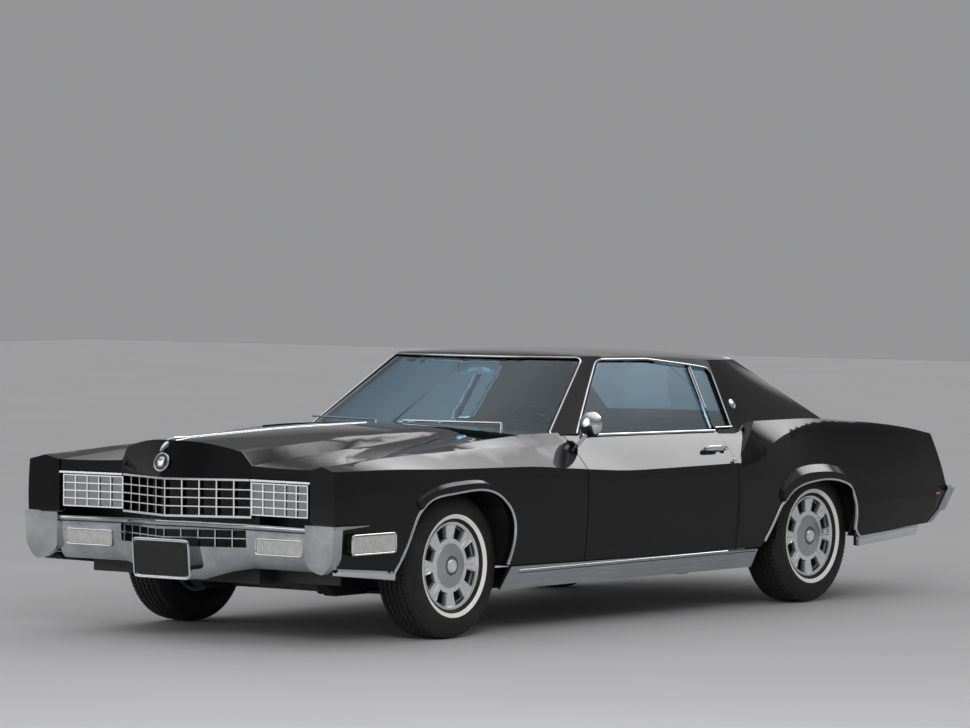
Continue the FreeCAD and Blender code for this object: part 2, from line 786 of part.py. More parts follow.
cap_inner = 789
lower_opening_half = 398
lower_opening = (464, 546)
turn_lamp = (456, 754, 434, 512)


def front_lamps():
    play = size("running_gap")
    x0, x1, z0, z1 = turn_lamp
    turn = prism("z", z0 + play, z1 - play, [(x0 + play, -926), (x1 - play, -934), (x1 - play, -906),
                                             (x0 + play, -898)])
    return Part.Compound([both_sides(turn), both_sides(corner_lamp(play))])


def lower_grille():
    bars = egg_crate(0, lower_opening_half - size("running_gap"), lower_opening[0] + size("running_gap"),
                     lower_opening[1] - size("running_gap"), 5, 2, lambda x: -1068 + x * 0.405, 16)
    return whole(fused(bars))


def rear_bumper():
    shape = tail_solid(-40).cut(tail_solid(0)).common(box(0, 975, 3900, 4900, 380, 575))
    lip = tail_solid(0).cut(tail_solid(30)).common(box(0, 975, 3900, 4900, 440, 560))
    return whole(shape.cut(quarter_solid).fuse(lip))


def tail_lamps():
    return both_sides(tail_solid(-20).cut(tail_solid(3)).common(tail_lamp_zone(0)))


def rocker():
    """Bright strip on a sill, its upper edge falling a little towards the rear as the doors' feet do."""
    def along(points):
        return ruled("y", [(y, [(x, z + drop * (z > 300)) for x, z in points])
                           for y, drop in ((250, 7), (2440, -10))])
    skin_strip = along([(985, 328), (940, 222), (928, 222), (970, 328)])
    wheel_edge = prism("x", 700, 1100, [(200, 200), (316, 200), (362, 345), (200, 345)])
    sill = along([(970, 328), (930, 222), (780, 222), (780, 291.7), (900, 291.7), (930, 328)])
    return skin_strip.cut(wheel_edge).fuse(sill.cut(box(700, 1100, 200, 412, 200, 400))).removeSplitter()


def arch_moulding(points):
    band = arch_cut(points, 0).cut(arch_cut(points, -7))
    return band.common(box(960, half_width + 7, -600, 3500, 345, 900))


def body_mouldings():
    slip = size("running_gap")
    rear_low = prism("x", 940, 984, [(3384, 285), (3384, 344 - slip), (3963, 373 - slip), (3930, 320)])
    front_low = prism("x", 915, 962, [(-917, 353), (-917, 392 - slip), (-496, 359 - slip), (-500, 311)])
    shapes = [arch_moulding(front_arch), arch_moulding(rear_arch), rear_low, front_low]
    return Part.Compound([both_sides(shape.cut(fender_solid).cut(quarter_solid)) for shape in shapes])


def thick_profile(points, back, down):
    """Closed outline of a bent sheet seen from the side, its other face shifted back and down."""
    return points + [(y + back, z - down) for y, z in reversed(points)]


rear_floor = [(2420, 400), (2660, 560), (3400, 560), (3440, size("trunk_floor")), (4120, size("trunk_floor"))]


rear_liner_inner = 642


def floor_pan():
    t = size("floor_thickness")
    top = size("floor_height") + t
    front = [(640, 900), (640, 430), (860, top), (2330, top)]
    rear = [(2330, top)] + rear_floor
    front_sheet = prism("x", -800, 800, thick_profile(front, -t, t))
    rear_half = rear_liner_inner - size("running_gap")
    rear_sheet = prism("x", -rear_half, rear_half, thick_profile(rear, 0, 1.4 * t))
    return front_sheet.fuse(rear_sheet).removeSplitter()


def perimeter_frame():
    """Closed frame under the cabin, raised ahead of the engine and over the rear axle, with jacking pads."""
    tall = size("rail_height")
    base = size("floor_height") - tall
    wide = size("rail_width")
    top = base + tall - gap / 2
    plan = [(380, -330), (380, 420), (690, 700), (690, 2300), (690 + wide, 2300), (690 + wide, 660),
            (380 + wide, 380), (380 + wide, -330)]
    rail = prism("z", base, top, plan)
    front_end = size("support_y") + size("support_thickness") + size("running_gap")
    front = prism("x", 380, 380 + wide, [(front_end, 400), (front_end, 487), (-560, 487), (-300, top), (-300, base),
                                         (-330, base), (-590, 400)])
    tower = box(400, 380 + wide, -110, 110, base, wheel_z + 152).cut(rod(42, (300, 0, wheel_z), (700, 0, wheel_z)))
    kick = prism("x", 540, 690 + wide, [(2200, base), (2200, 280), (2330, 280), (2480, 405), (2620, 498),
                                        (2620, 412), (2500, 330), (2330, base)])
    rear = box(540, 610, 2600, 4080, 412, 498)
    pads = [box(695, 755, y - 45, y + 45, base - size("jack_pad_height"), base) for y in (1000, 2100)]
    pads += [rod(30, (725, y, top - 1), (725, y, base + tall - size("running_gap"))) for y in (950, 1550, 2150)]
    cross = [box(-400, 400, -688, -628, 402, 480), box(-400, 400, 330, 420, base, base + 80)]
    cross += [box(-700, 700, 2200, 2280, base, base + 80), box(-560, 560, 3900, 3980, 420, 490)]
    cross += [box(-400, 400, -140, -60, base, size("engine_foot") - size("running_gap"))]
    half = rail.fuse([front, tower, kick, rear] + pads)
    return fused([half, mirrored(half)] + cross)


def wheelhouse(y, radius, inner, foot, wall_foot):
    """Liner over one wheel: a many-sided arch with a wall on its inner side."""
    wall = size("wheelhouse_wall")
    sides = 8
    rings = []
    for r in (radius, radius - wall):
        rings.append([(y + r * math.cos(math.pi * k / sides), wheel_z + r * math.sin(math.pi * k / sides))
                      for k in range(sides + 1)])
    rings = [[(ring[0][0], foot)] + ring + [(ring[-1][0], foot)] for ring in rings]
    arch = prism("x", inner, 956.5, rings[0] + rings[1][::-1])
    side = prism("x", inner, inner + wall, rings[0]).cut(box(0, 1000, y - 600, y + 600, 0, wall_foot))
    return arch.fuse(side).removeSplitter()


def wheelhouses():
    front = wheelhouse(0, size("wheelhouse_radius"), 456, 340, 520)
    rear = wheelhouse(rear_axle_y, size("wheelhouse_radius") - 30, rear_liner_inner, 352, 430)
    return both_sides(Part.Compound([front.cut(fender_solid), rear.cut(quarter_solid)]))


across = FreeCAD.Rotation(Vector(0, 1, 0), 90)


def rear_axle():
    reach = "(sizes.rear_track / 2 - sizes.hub_reach)"
    beam = round_bar("axle_beam", (f"-{reach}", "sizes.wheelbase", "sizes.tyre_radius"), "sizes.axle_beam_radius",
                     f"2 * {reach}", across)
    drums = [round_bar(f"axle_drum_{side}", (place, "sizes.wheelbase", "sizes.tyre_radius"), "sizes.drum_radius",
                       "sizes.drum_width", across)
             for side, place in (("left", f"{reach} - sizes.drum_width"), ("right", f"-{reach}"))]
    stub = "(sizes.drum_set + sizes.hub_reach)"
    hubs = [round_bar(f"axle_hub_{side}", (place, "sizes.wheelbase", "sizes.tyre_radius"), "sizes.hub_neck_radius",
                      f"{stub} + 1", across)
            for side, place in (("left", f"{reach} - 1"), ("right", f"-{reach} - {stub}"))]
    joined("rear_axle", [beam] + drums + hubs)


def leaf_springs():
    y = rear_axle_y
    leaf = prism("x", 550, 600, [(y - 400, 400), (y, 207.5, True), (y + 650, 400), (y + 650, 411.7),
                                 (y, 219.2, True), (y - 400, 411.7)])
    return both_sides(leaf)


def knuckles():
    pin = "(sizes.front_track / 2 - sizes.kingpin_inset)"
    outer = "(sizes.front_track / 2 + sizes.drum_set)"
    for side, sign in (("left", ""), ("right", "-")):
        flip = side == "right"
        hub_start = f"-{outer}" if flip else f"{pin} + sizes.hub_neck"
        drum_start = f"-{outer}" if flip else f"{outer} - sizes.drum_width - sizes.drum_set"
        hub = round_bar(f"hub_{side}", (hub_start, "0", "sizes.tyre_radius"), "sizes.hub_radius",
                        f"{outer} - {pin} - sizes.hub_neck", across)
        neck_start = f"-{pin} - sizes.hub_neck - 1" if flip else f"{pin} - sizes.hub_reach"
        neck = round_bar(f"neck_{side}", (neck_start, "0", "sizes.tyre_radius"), "sizes.hub_neck_radius",
                         "sizes.hub_neck + sizes.hub_reach + 1", across)
        drum = round_bar(f"drum_{side}", (drum_start, "0", "sizes.tyre_radius"), "sizes.drum_radius",
                         "sizes.drum_width + sizes.drum_set", across)
        upright = round_bar(f"upright_{side}", (f"{sign}{pin}", "0", "sizes.tyre_radius - sizes.upright_height / 2"),
                            "sizes.upright_radius", "sizes.upright_height", FreeCAD.Rotation())
        joined(f"knuckle_{side}", [hub, drum, neck, upright])


def control_arms():
    pin = size("front_track") / 2 - size("kingpin_inset")
    arms = []
    for z in (wheel_z - 150, wheel_z + 134):
        inner = 380 + size("rail_width") + size("running_gap")
        arms.append(prism("z", z, z + 16, [(inner, -100), (pin + 20, -25), (pin + 20, 25), (inner, 100)]))
    return both_sides(Part.Compound(arms))


def drive_shafts():
    start = "(sizes.engine_half + sizes.running_gap)"
    end = "(sizes.front_track / 2 - sizes.kingpin_inset - sizes.hub_reach - sizes.shaft_end_gap)"
    shafts = [round_bar(f"shaft_{side}", (place, "0", "sizes.tyre_radius"), "sizes.shaft_radius", f"{end} - {start}",
                        across) for side, place in (("left", start), ("right", f"-{end}"))]
    joined("drive_shafts", shafts, "Part::Compound")


def front_seat():
    cushion = prism("x", -660, 660, [(1520, 400), (1500, 520), (1700, 560, True), (2010, 500), (2040, 400)])
    back = prism("x", -660, 660, [(1960, 500), (2090, 930), (2150, 960, True), (2190, 920), (2110, 430)])
    floor_top = size("floor_height") + size("floor_thickness") + size("running_gap")
    risers = [box(x, x + 40, 1560, 1980, floor_top, 402) for x in (-600, -60, 20, 560)]
    return cushion.fuse([back] + risers).removeSplitter()


def rear_seat():
    play = size("running_gap")
    (front_y, front_z), (step_y, step_z) = rear_floor[:2]
    cushion = prism("x", -620, 620, [(front_y, front_z + play), (front_y - 10, 540), (2560, 600, True),
                                     (2820, 590), (2900, step_z + play), (step_y, step_z + play)])
    back = prism("x", -620, 620, [(2740, step_z + play), (2920, 900), (2990, 910, True), (3020, 880),
                                  (2860, step_z + play)])
    return cushion.fuse(back).removeSplitter()


def dashboard():
    profile = [(830, 890), (860, 925), (1060, 930, True), (1120, 885), (1090, 760), (980, 720), (830, 740)]
    ends = [box(x, x + 16, 885, 905, 900, 932.7) for x in (-790, 774)]
    return prism("x", -790, 790, profile).fuse(ends).cut(column_rod(size("running_gap")))


def column_direction():
    angle = math.radians(size("column_angle"))
    return Vector(0, -math.cos(angle), -math.sin(angle))


def wheel_hub_point(back):
    centre = Vector(size("steering_wheel_x"), size("steering_wheel_y"), size("steering_wheel_z"))
    return centre + column_direction() * back


def column_rod(grow):
    start, end = wheel_hub_point(36 + size("running_gap")), wheel_hub_point(640)
    return rod(32 + grow, tuple(start), tuple(end))


def steering_column():
    return column_rod(0)


def steering_wheel():
    """Rim, hub and two spokes about the column's axis, turned to face the driver."""
    rim = primitive("Torus", "wheel_rim", None, {"Radius1": "sizes.steering_wheel_radius - sizes.rim_section",
                                                 "Radius2": "sizes.rim_section"})
    hub = round_bar("wheel_boss", ("0", "0", "-36"), "sizes.column_radius + 2", "40", FreeCAD.Rotation())
    spokes = block("wheel_spokes", ("-190", "-16", "-20"), "380", "32", "14")
    item = doc.addObject("Part::MultiFuse", "steering_wheel")
    item.Shapes = [rim, hub, spokes]
    item.Placement = FreeCAD.Placement(Vector(), FreeCAD.Rotation(Vector(0, 0, -1), column_direction()))
    bound(item, {}, ("sizes.steering_wheel_x", f"sizes.steering_wheel_y - ({middle_text})",
                     "sizes.steering_wheel_z"))
    keep(item, "steering_wheel")


def wipers():
    arms = []
    for x0, x1 in ((-600, -60), (80, 640)):
        pivot_y, pivot_z = 592 + 0.0003 * x1 * x1, 994 - 0.00007 * x1 * x1
        arms.append(rod(5, (x0, 628 + 0.0003 * x0 * x0, 1012), (x1, pivot_y, 1012)))
        pivot = rod(7, (x1, pivot_y, pivot_z), (x1, pivot_y, 1014))
        arms[-1] = arms[-1].fuse(pivot).cut(cowl_solid)
    return Part.Compound(arms)


def cabin_mirror():
    return box(-130, 130, 1330, 1348, 1225, 1275).fuse(box(-8, 8, 1335, 1345, 1275, 1312)).cut(roof_solid)


def door_mirror():
    head = rod(64, (944, 1030, 1004), (944, 1060, 1004))
    foot = rod(9, (884, 985, 880), (936, 1038, 985))
    return fused([head, foot]).cut(door_solid)


def engine_block():
    item = block("engine_block", ("-sizes.engine_half", f"sizes.engine_front - ({middle_text})", "sizes.engine_foot"),
                 "2 * sizes.engine_half", "sizes.engine_length", "sizes.engine_height")
    keep(item, "engine_block")


def radiator():
    core = block("radiator_core", ("-sizes.core_half_width", "sizes.support_y - sizes.core_depth", "283"),
                 "2 * sizes.core_half_width", "sizes.core_depth", "sizes.core_height")
    support = block("radiator_support", ("-sizes.support_half_width", "sizes.support_y", "290"),
                    "2 * sizes.support_half_width", "sizes.support_thickness", "sizes.core_height - 7")
    joined("radiator", [core, support])


def exhaust():
    z = size("floor_height") - size("rail_height") - size("running_gap") - size("pipe_radius")
    runs = [((-180, 300, z), (-180, 2330, z)), ((-180, 2330, z), (-420, 2600, 262)),
            ((-420, 2600, 262), (-420, 3400, 270))]
    pipes = [rod(size("pipe_radius"), a, b) for a, b in runs]
    silencer = box(-520, -320, 3350, 3850, 205, 325)
    tail = rod(24, (-420, 3800, 280), (-420, 4200, 270))
    return fused(pipes + [silencer, tail])


def fuel_tank():
    top = "sizes.trunk_floor - 1.4 * sizes.floor_thickness - sizes.running_gap"
    item = block("fuel_tank", ("-280", f"3480 - ({middle_text})", "sizes.tank_foot"), "sizes.tank_width",
                 "sizes.tank_length", f"{top} - sizes.tank_foot")
    keep(item, "fuel_tank")


def number_texts(points):
    return [tuple(str(value) for value in point) for point in points]


def tyre(label, place):
    """Tyre turned about its own axle; corners are (outboard, radius)."""
    body = part_body(label, place)
    tread, side = "sizes.tread_width / 2", "sizes.tyre_width / 2"
    bead, top = "sizes.bead_radius", "sizes.tyre_radius"
    half = [("sizes.rim_width / 2", bead), ("sizes.rim_width / 2", f"{bead} + 16"),
            ("sizes.rim_width / 2 + 16", f"{bead} + 16"), (f"{side} - 12", f"{bead} + 42"), (side, "268"),
            (f"{side} - 4", f"{top} - 48"), (f"{tread} + 12", f"{top} - 18"), (tread, top)]
    corners = half + [(f"-({x})", radius) for x, radius in reversed(half)]
    sketch = flat_sketch(body, label + "_profile", "XY_Plane", corners)
    ring = doc.addObject("PartDesign::Revolution", label + "_turned")
    body.addObject(ring)
    ring.Profile = sketch
    ring.ReferenceAxis = (sketch, ["H_Axis"])
    ring.Angle = 360
    sketch.Visibility = False


def road_wheel(label, place, turn):
    """Rim, disc and pressed cover turned about the axle, its slots one pocket in a polar pattern."""
    body = part_body(label, place, turn)
    seat = "sizes.bead_radius - sizes.running_gap"
    half = "sizes.rim_width / 2"
    corners = [(f"-({half} + 14)", f"{seat} + 15"), (f"-({half} + 0.3)", f"{seat} + 15"), (f"-({half} + 0.3)", seat),
               (f"{half} + 0.3", seat), (f"{half} + 0.3", f"{seat} + 15"), (f"{half} + 14", f"{seat} + 15"),
               (f"{half} + 20", f"{seat} + 4"), (f"{half} + 14", f"{seat} - 12")]
    corners += number_texts([(88, 162), (74, 116), (86, 62), (100, 50), (100, 0), (28, 0), (28, 150), (56, 156),
                             (60, 166)])
    corners += [("44", f"{seat} - 24"), (f"-({half} + 10)", f"{seat} - 12")]
    sketch = flat_sketch(body, label + "_profile", "XY_Plane", corners)
    disc = doc.addObject("PartDesign::Revolution", label + "_turned")
    body.addObject(disc)
    disc.Profile = sketch
    disc.ReferenceAxis = (sketch, ["H_Axis"])
    disc.Angle = 360
    near, far = "sizes.cover_slot_radius - sizes.cover_slot_length / 2", "sizes.cover_slot_radius + sizes.cover_slot_length / 2"
    wide = "sizes.cover_slot_width / 2"
    opening = flat_sketch(body, label + "_slot", "YZ_Plane", [(f"-{wide}", near), (wide, near), (wide, far),
                                                              (f"-{wide}", far)])
    opening.AttachmentOffset = FreeCAD.Placement(Vector(0, 0, 58), FreeCAD.Rotation())
    pocket = doc.addObject("PartDesign::Pocket", label + "_pocket")
    body.addObject(pocket)
    pocket.Profile = opening
    pocket.Length = 80
    pocket.Reversed = True
    ring = doc.addObject("PartDesign::PolarPattern", label + "_slots")
    body.addObject(ring)
    ring.Originals = [pocket]
    ring.Axis = (sketch, ["H_Axis"])
    ring.Angle = 360
    ring.setExpression("Occurrences", "sizes.cover_slots")
    body.Tip = ring
    for item in (sketch, opening):
        item.Visibility = False


def wheels():
    half_turn = FreeCAD.Rotation(Vector(0, 0, 1), 180)
    for end, track, y in (("front", "sizes.front_track / 2", "0"), ("rear", "sizes.rear_track / 2", "sizes.wheelbase")):
        for side, sign, turn in (("left", "", FreeCAD.Rotation()), ("right", "-", half_turn)):
            place = (sign + track, f"{y} - ({middle_text})", "sizes.tyre_radius")
            tyre(f"tyre_{end}_{side}", place)
            road_wheel(f"wheel_{end}_{side}", place, turn)


play = size("running_gap")
quarter_solid = quarter_panel()
fender_solid = front_fender()
door_solid = door()
roof_solid = roof_panel()
cowl_solid = cowl_panel()
pair("front_fender", fender_solid)
pair("quarter_panel", quarter_solid)
pair("door", door_solid)
pair("door_glass", glass_shell.common(window("x", 300, 1100, door_glass_outline, 0)))
pair("quarter_glass", glass_shell.common(window("x", 300, 1100, quarter_window, play)))
piece("roof_panel", roof_solid)
glass_back = glass_set + size("glass_thickness")
piece("windshield", whole(windshield_pane(932, 1316 - play, glass_set, glass_back, pane_slip)))
piece("rear_window", whole(rear_window_pane(978 + play, 1288 - play, glass_set, glass_back, pane_slip)))
piece("hood", hood())
piece("cowl_panel", cowl_solid)
piece("trunk_lid", trunk_lid())
piece("deck_panel", deck_panel())
piece("tail_panel", tail_panel())
piece("grille", grille())
pair("headlamp_door", lamp_door())
piece("headlamps", headlamps())
piece("front_bumper", front_bumper())
piece("lower_grille", lower_grille())
piece("front_lamps", front_lamps())
piece("rear_bumper", rear_bumper())
piece("tail_lamps", tail_lamps())
pair("rocker", rocker())
piece("body_mouldings", body_mouldings())
piece("floor_pan", floor_pan())
piece("perimeter_frame", perimeter_frame())
piece("wheelhouses", wheelhouses())
rear_axle()
piece("leaf_springs", leaf_springs())
knuckles()
piece("control_arms", control_arms())
drive_shafts()
piece("front_seat", front_seat())
piece("rear_seat", rear_seat())
piece("dashboard", dashboard())
piece("steering_column", steering_column())
steering_wheel()
piece("wipers", wipers())
piece("cabin_mirror", cabin_mirror())
piece("door_mirror", door_mirror())
engine_block()
radiator()
piece("exhaust", exhaust())
fuel_tank()
wheels()

doc.recompute()
for item in doc.Objects:
    if "Invalid" in item.State or "Error" in item.State:
        raise RuntimeError(f"{item.Label} failed: {item.State}")
for item in pieces:
    shape = item.Shape
    if shape.isNull() or not shape.isValid() or shape.Volume <= 0:
        raise RuntimeError(f"{item.Label} has no valid shape")
    solids = len(shape.Solids)
    print(f"{item.Label}: {solids} solid(s), {shape.Volume / 1e6:.2f} litres")
    shape.exportStep(f"parts/{item.Label}.step")
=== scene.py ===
import json
import math
import bmesh
import bpy
import numpy as np
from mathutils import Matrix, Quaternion, Vector
from mathutils.bvhtree import BVHTree

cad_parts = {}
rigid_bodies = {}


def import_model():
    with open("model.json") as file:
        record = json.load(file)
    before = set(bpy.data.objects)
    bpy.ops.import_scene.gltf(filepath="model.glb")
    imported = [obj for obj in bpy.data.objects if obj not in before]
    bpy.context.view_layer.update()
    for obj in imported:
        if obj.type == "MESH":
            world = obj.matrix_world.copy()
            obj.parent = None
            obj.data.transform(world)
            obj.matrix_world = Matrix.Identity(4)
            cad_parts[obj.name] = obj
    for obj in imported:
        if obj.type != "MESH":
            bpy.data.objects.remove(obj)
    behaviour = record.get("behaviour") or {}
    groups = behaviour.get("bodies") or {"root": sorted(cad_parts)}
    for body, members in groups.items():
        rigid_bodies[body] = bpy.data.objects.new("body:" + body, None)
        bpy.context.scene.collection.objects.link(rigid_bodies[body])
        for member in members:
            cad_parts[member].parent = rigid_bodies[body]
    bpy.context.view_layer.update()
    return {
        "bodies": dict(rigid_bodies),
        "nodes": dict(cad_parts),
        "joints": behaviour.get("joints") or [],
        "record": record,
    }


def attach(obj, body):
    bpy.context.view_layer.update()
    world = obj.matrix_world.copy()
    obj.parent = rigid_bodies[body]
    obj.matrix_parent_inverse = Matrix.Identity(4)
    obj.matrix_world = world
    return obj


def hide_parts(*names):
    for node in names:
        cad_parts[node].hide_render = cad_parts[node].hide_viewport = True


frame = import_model()
nodes = frame["nodes"]
scene = bpy.context.scene
print("stage: frame loaded,", len(nodes), "nodes")


# small helpers for shader trees

def put(tree, kind, settings=None, **sockets):  # a node, its settings, and plain numbers on its sockets
    made = tree.nodes.new(kind)
    for name, value in (settings or {}).items():
        setattr(made, name, value)
    for name, value in sockets.items():
        made.inputs[name.replace("_", " ")].default_value = value
    return made


def wire(tree, *pairs):  # (node, output name or number, node, input name or number) links
    for source, out, target, into in pairs:
        tree.links.new(source.outputs[out], target.inputs[into])


def newGroup(name, inputs, outputs):  # a shader group with named sockets
    group = bpy.data.node_groups.new(name, "ShaderNodeTree")
    for label, kind, value in inputs:
        socket = group.interface.new_socket(label, in_out="INPUT", socket_type=kind)
        socket.default_value = value
    for label, kind in outputs:
        group.interface.new_socket(label, in_out="OUTPUT", socket_type=kind)
    return group, group.nodes.new("NodeGroupInput"), group.nodes.new("NodeGroupOutput")


number, vector = "NodeSocketFloat", "NodeSocketVector"


def surfaceRippleGroup():  # orange peel or moulded texture: noise height turned into a normal
    group, given, result = newGroup("surfaceRipple", [("Scale", number, 300), ("Height", number, 0.1),
                                                      ("Distance", number, 0.001)], [("Normal", vector)])
    place = put(group, "ShaderNodeTexCoord")
    noise = put(group, "ShaderNodeTexNoise", Detail=3, Roughness=0.55)
    bump = put(group, "ShaderNodeBump")
    wire(group, (place, "Object", noise, "Vector"), (given, "Scale", noise, "Scale"),
         (noise, 0, bump, "Height"), (given, "Height", bump, "Strength"),
         (given, "Distance", bump, "Distance"), (bump, "Normal", result, "Normal"))
    return group


def mottleGroup():  # a value that wanders between Low and High over the surface
    group, given, result = newGroup("mottle", [("Scale", number, 8), ("Low", number, 0), ("High", number, 1)],
                                    [("Value", number)])
    place = put(group, "ShaderNodeTexCoord")
    noise = put(group, "ShaderNodeTexNoise", Detail=5, Roughness=0.6)
    spread = put(group, "ShaderNodeMapRange", From_Min=0.3, From_Max=0.7)
    wire(group, (place, "Object", noise, "Vector"), (given, "Scale", noise, "Scale"),
         (noise, 0, spread, "Value"), (given, "Low", spread, "To Min"), (given, "High", spread, "To Max"),
         (spread, 0, result, "Value"))
    return group


def brushedGroup():  # fine lines along one axis: noise on coordinates stretched along that axis
    group, given, result = newGroup("brushed", [("Stretch", vector, (1, 1, 1)), ("Height", number, 0.1)],
                                    [("Value", number), ("Normal", vector)])
    place = put(group, "ShaderNodeTexCoord")
    scale = put(group, "ShaderNodeVectorMath", {"operation": "MULTIPLY"})
    noise = put(group, "ShaderNodeTexNoise", Scale=1, Detail=3, Roughness=0.7)
    bump = put(group, "ShaderNodeBump", Distance=0.0004)
    wire(group, (place, "Object", scale, 0), (given, "Stretch", scale, 1), (scale, 0, noise, "Vector"),
         (noise, 0, bump, "Height"), (given, "Height", bump, "Strength"), (noise, 0, result, "Value"),
         (bump, "Normal", result, "Normal"))
    return group


def grainGroup():  # leather grain: the distance to the edges of small cells
    group, given, result = newGroup("leatherGrain", [("Scale", number, 260), ("Height", number, 0.4)],
                                    [("Value", number), ("Normal", vector)])
    place = put(group, "ShaderNodeTexCoord")
    cells = put(group, "ShaderNodeTexVoronoi", {"feature": "DISTANCE_TO_EDGE"})
    shape = put(group, "ShaderNodeMapRange", From_Max=0.25)
    bump = put(group, "ShaderNodeBump", Distance=0.0006)
    wire(group, (place, "Object", cells, "Vector"), (given, "Scale", cells, "Scale"),
         (cells, 0, shape, "Value"), (shape, 0, bump, "Height"), (given, "Height", bump, "Strength"),
         (shape, 0, result, "Value"), (bump, "Normal", result, "Normal"))
    return group


ripple, mottle, brushed, grain = surfaceRippleGroup(), mottleGroup(), brushedGroup(), grainGroup()


def shader(name, **sockets):  # material with a Principled shader
    material = bpy.data.materials.new(name)
    material.use_nodes = True
    principled = material.node_tree.nodes["Principled BSDF"]
    for label, value in sockets.items():
        principled.inputs[label.replace("_", " ")].default_value = value
    return material, material.node_tree, principled


def useGroup(tree, group, **sockets):
    made = tree.nodes.new("ShaderNodeGroup")
    made.node_tree = group
    for label, value in sockets.items():
        made.inputs[label].default_value = value
    return made


def ramp(tree, stops):  # colour ramp through (place, colour) stops
    made = tree.nodes.new("ShaderNodeValToRGB")
    band = made.color_ramp
    while len(band.elements) < len(stops):
        band.elements.new(0.5)
    for element, (place, tone) in zip(band.elements, stops):
        element.position = place
        element.color = (*tone, 1)
    return made


def roughFrom(tree, principled, low, high, scale):  # roughness wandering between two values
    wander = useGroup(tree, mottle, Scale=scale, Low=low, High=high)
    wire(tree, (wander, "Value", principled, "Roughness"))


def toned(tree, principled, scale, dark, light):  # base colour wandering between two tones
    wander = useGroup(tree, mottle, Scale=scale)
    tone = ramp(tree, [(0, dark), (1, light)])
    wire(tree, (wander, "Value", tone, "Fac"), (tone, "Color", principled, "Base Color"))


def rippled(tree, principled, scale, height):  # a fine relief in the normal
    wave = useGroup(tree, ripple, Scale=scale, Height=height)
    wire(tree, (wave, "Normal", principled, "Normal"))


paint = {
    "dark": (0.0035, 0.0035, 0.004), "light": (0.006, 0.006, 0.0068), "toneScale": 3,
    "rough": (0.05, 0.11), "roughScale": 18, "peel": 220, "peelHeight": 0.012}


def blackPaint():
    material, tree, principled = shader("glossBlackPaint", Coat_Weight=1, Coat_Roughness=0.03, Coat_IOR=1.32,
                                       Specular_IOR_Level=0.03)
    toned(tree, principled, paint["toneScale"], paint["dark"], paint["light"])
    roughFrom(tree, principled, *paint["rough"], paint["roughScale"])
    rippled(tree, principled, paint["peel"], paint["peelHeight"])
    return material


plating = {"toneScale": 7, "roughScale": 40, "ripple": 90, "rippleHeight": 0.01}


def polished(name, dark, light, low, high):
    material, tree, principled = shader(name, Metallic=1)
    toned(tree, principled, plating["toneScale"], dark, light)
    roughFrom(tree, principled, low, high, plating["roughScale"])
    rippled(tree, principled, plating["ripple"], plating["rippleHeight"])
    return material


def brushedMetal(name, dark, light, rough, stretch, height):
    material, tree, principled = shader(name, Metallic=1, Roughness=rough)
    lines = useGroup(tree, brushed, Stretch=stretch, Height=height)
    tone = ramp(tree, [(0.3, dark), (0.7, light)])
    wire(tree, (lines, "Value", tone, "Fac"), (tone, "Color", principled, "Base Color"),
         (lines, "Normal", principled, "Normal"))
    return material


glass = {"index": 1.45, "roughScale": 12}


def tintedGlass(name, tone, low, high):  # one roughness where the two are equal
    material, tree, principled = shader(name, Metallic=0, Transmission_Weight=1, IOR=glass["index"],
                                       Roughness=low)
    principled.inputs["Base Color"].default_value = (*tone, 1)
    if high > low:
        roughFrom(tree, principled, low, high, glass["roughScale"])
    return material


def plainCoat(name, dark, light, low, high, scale, peel, height, **sockets):
    material, tree, principled = shader(name, **sockets)
    toned(tree, principled, scale, dark, light)
    roughFrom(tree, principled, low, high, scale * 2)
    rippled(tree, principled, peel, height)
    return material


hide = {"grain": 330, "grainHeight": 0.1, "toneScale": 9, "rough": (0.42, 0.6), "roughScale": 30}


def leather(name, dark, light):
    material, tree, principled = shader(name, Specular_IOR_Level=0.25)
    cells = useGroup(tree, grain, Scale=hide["grain"], Height=hide["grainHeight"])
    toned(tree, principled, hide["toneScale"], dark, light)
    roughFrom(tree, principled, *hide["rough"], hide["roughScale"])
    wire(tree, (cells, "Normal", principled, "Normal"))
    return material


looks = {
    "paint": blackPaint(),
    "chrome": polished("brightChrome", (0.72, 0.73, 0.75), (0.84, 0.85, 0.86), 0.03, 0.08),
    "bright_panel": brushedMetal("brushedBright", (0.42, 0.43, 0.45), (0.66, 0.67, 0.69), 0.24,
                                 (5, 5, 260), 0.15),
    "satin_black": plainCoat("satinBlack", (0.008, 0.008, 0.009), (0.018, 0.018, 0.019), 0.4, 0.6,
                             12, 200, 0.08),
    "glass_tint": tintedGlass("blueGreenGlass", (0.4, 0.6, 0.72), 0.0, 0.0),
    "lamp_lens": tintedGlass("clearLens", (0.95, 0.95, 0.93), 0.02, 0.08),
    "red_lens": tintedGlass("redLens", (0.75, 0.015, 0.01), 0.05, 0.12),
    "cast_iron": plainCoat("castIron", (0.03, 0.03, 0.032), (0.07, 0.065, 0.06), 0.5, 0.8,
                           20, 120, 0.3, Metallic=0.6),
    "leather": leather("darkLeather", (0.012, 0.012, 0.014), (0.028, 0.027, 0.028)),
    "trim": plainCoat("darkTrim", (0.012, 0.012, 0.013), (0.03, 0.03, 0.032), 0.5, 0.75, 25, 400, 0.2),
    "tyre": plainCoat("tyreRubber", (0.012, 0.012, 0.012), (0.024, 0.023, 0.022), 0.55, 0.8, 14, 500, 0.15),
    "wheel": polished("wheelSteel", (0.55, 0.56, 0.58), (0.68, 0.69, 0.7), 0.16, 0.26),
}
print("stage: materials made")

slotOf = {entry["node"]: entry["material_slot"] for entry in frame["record"]["subparts"]}
finish = {"weld": 0.00002, "crisp": 28}  # metres and degrees


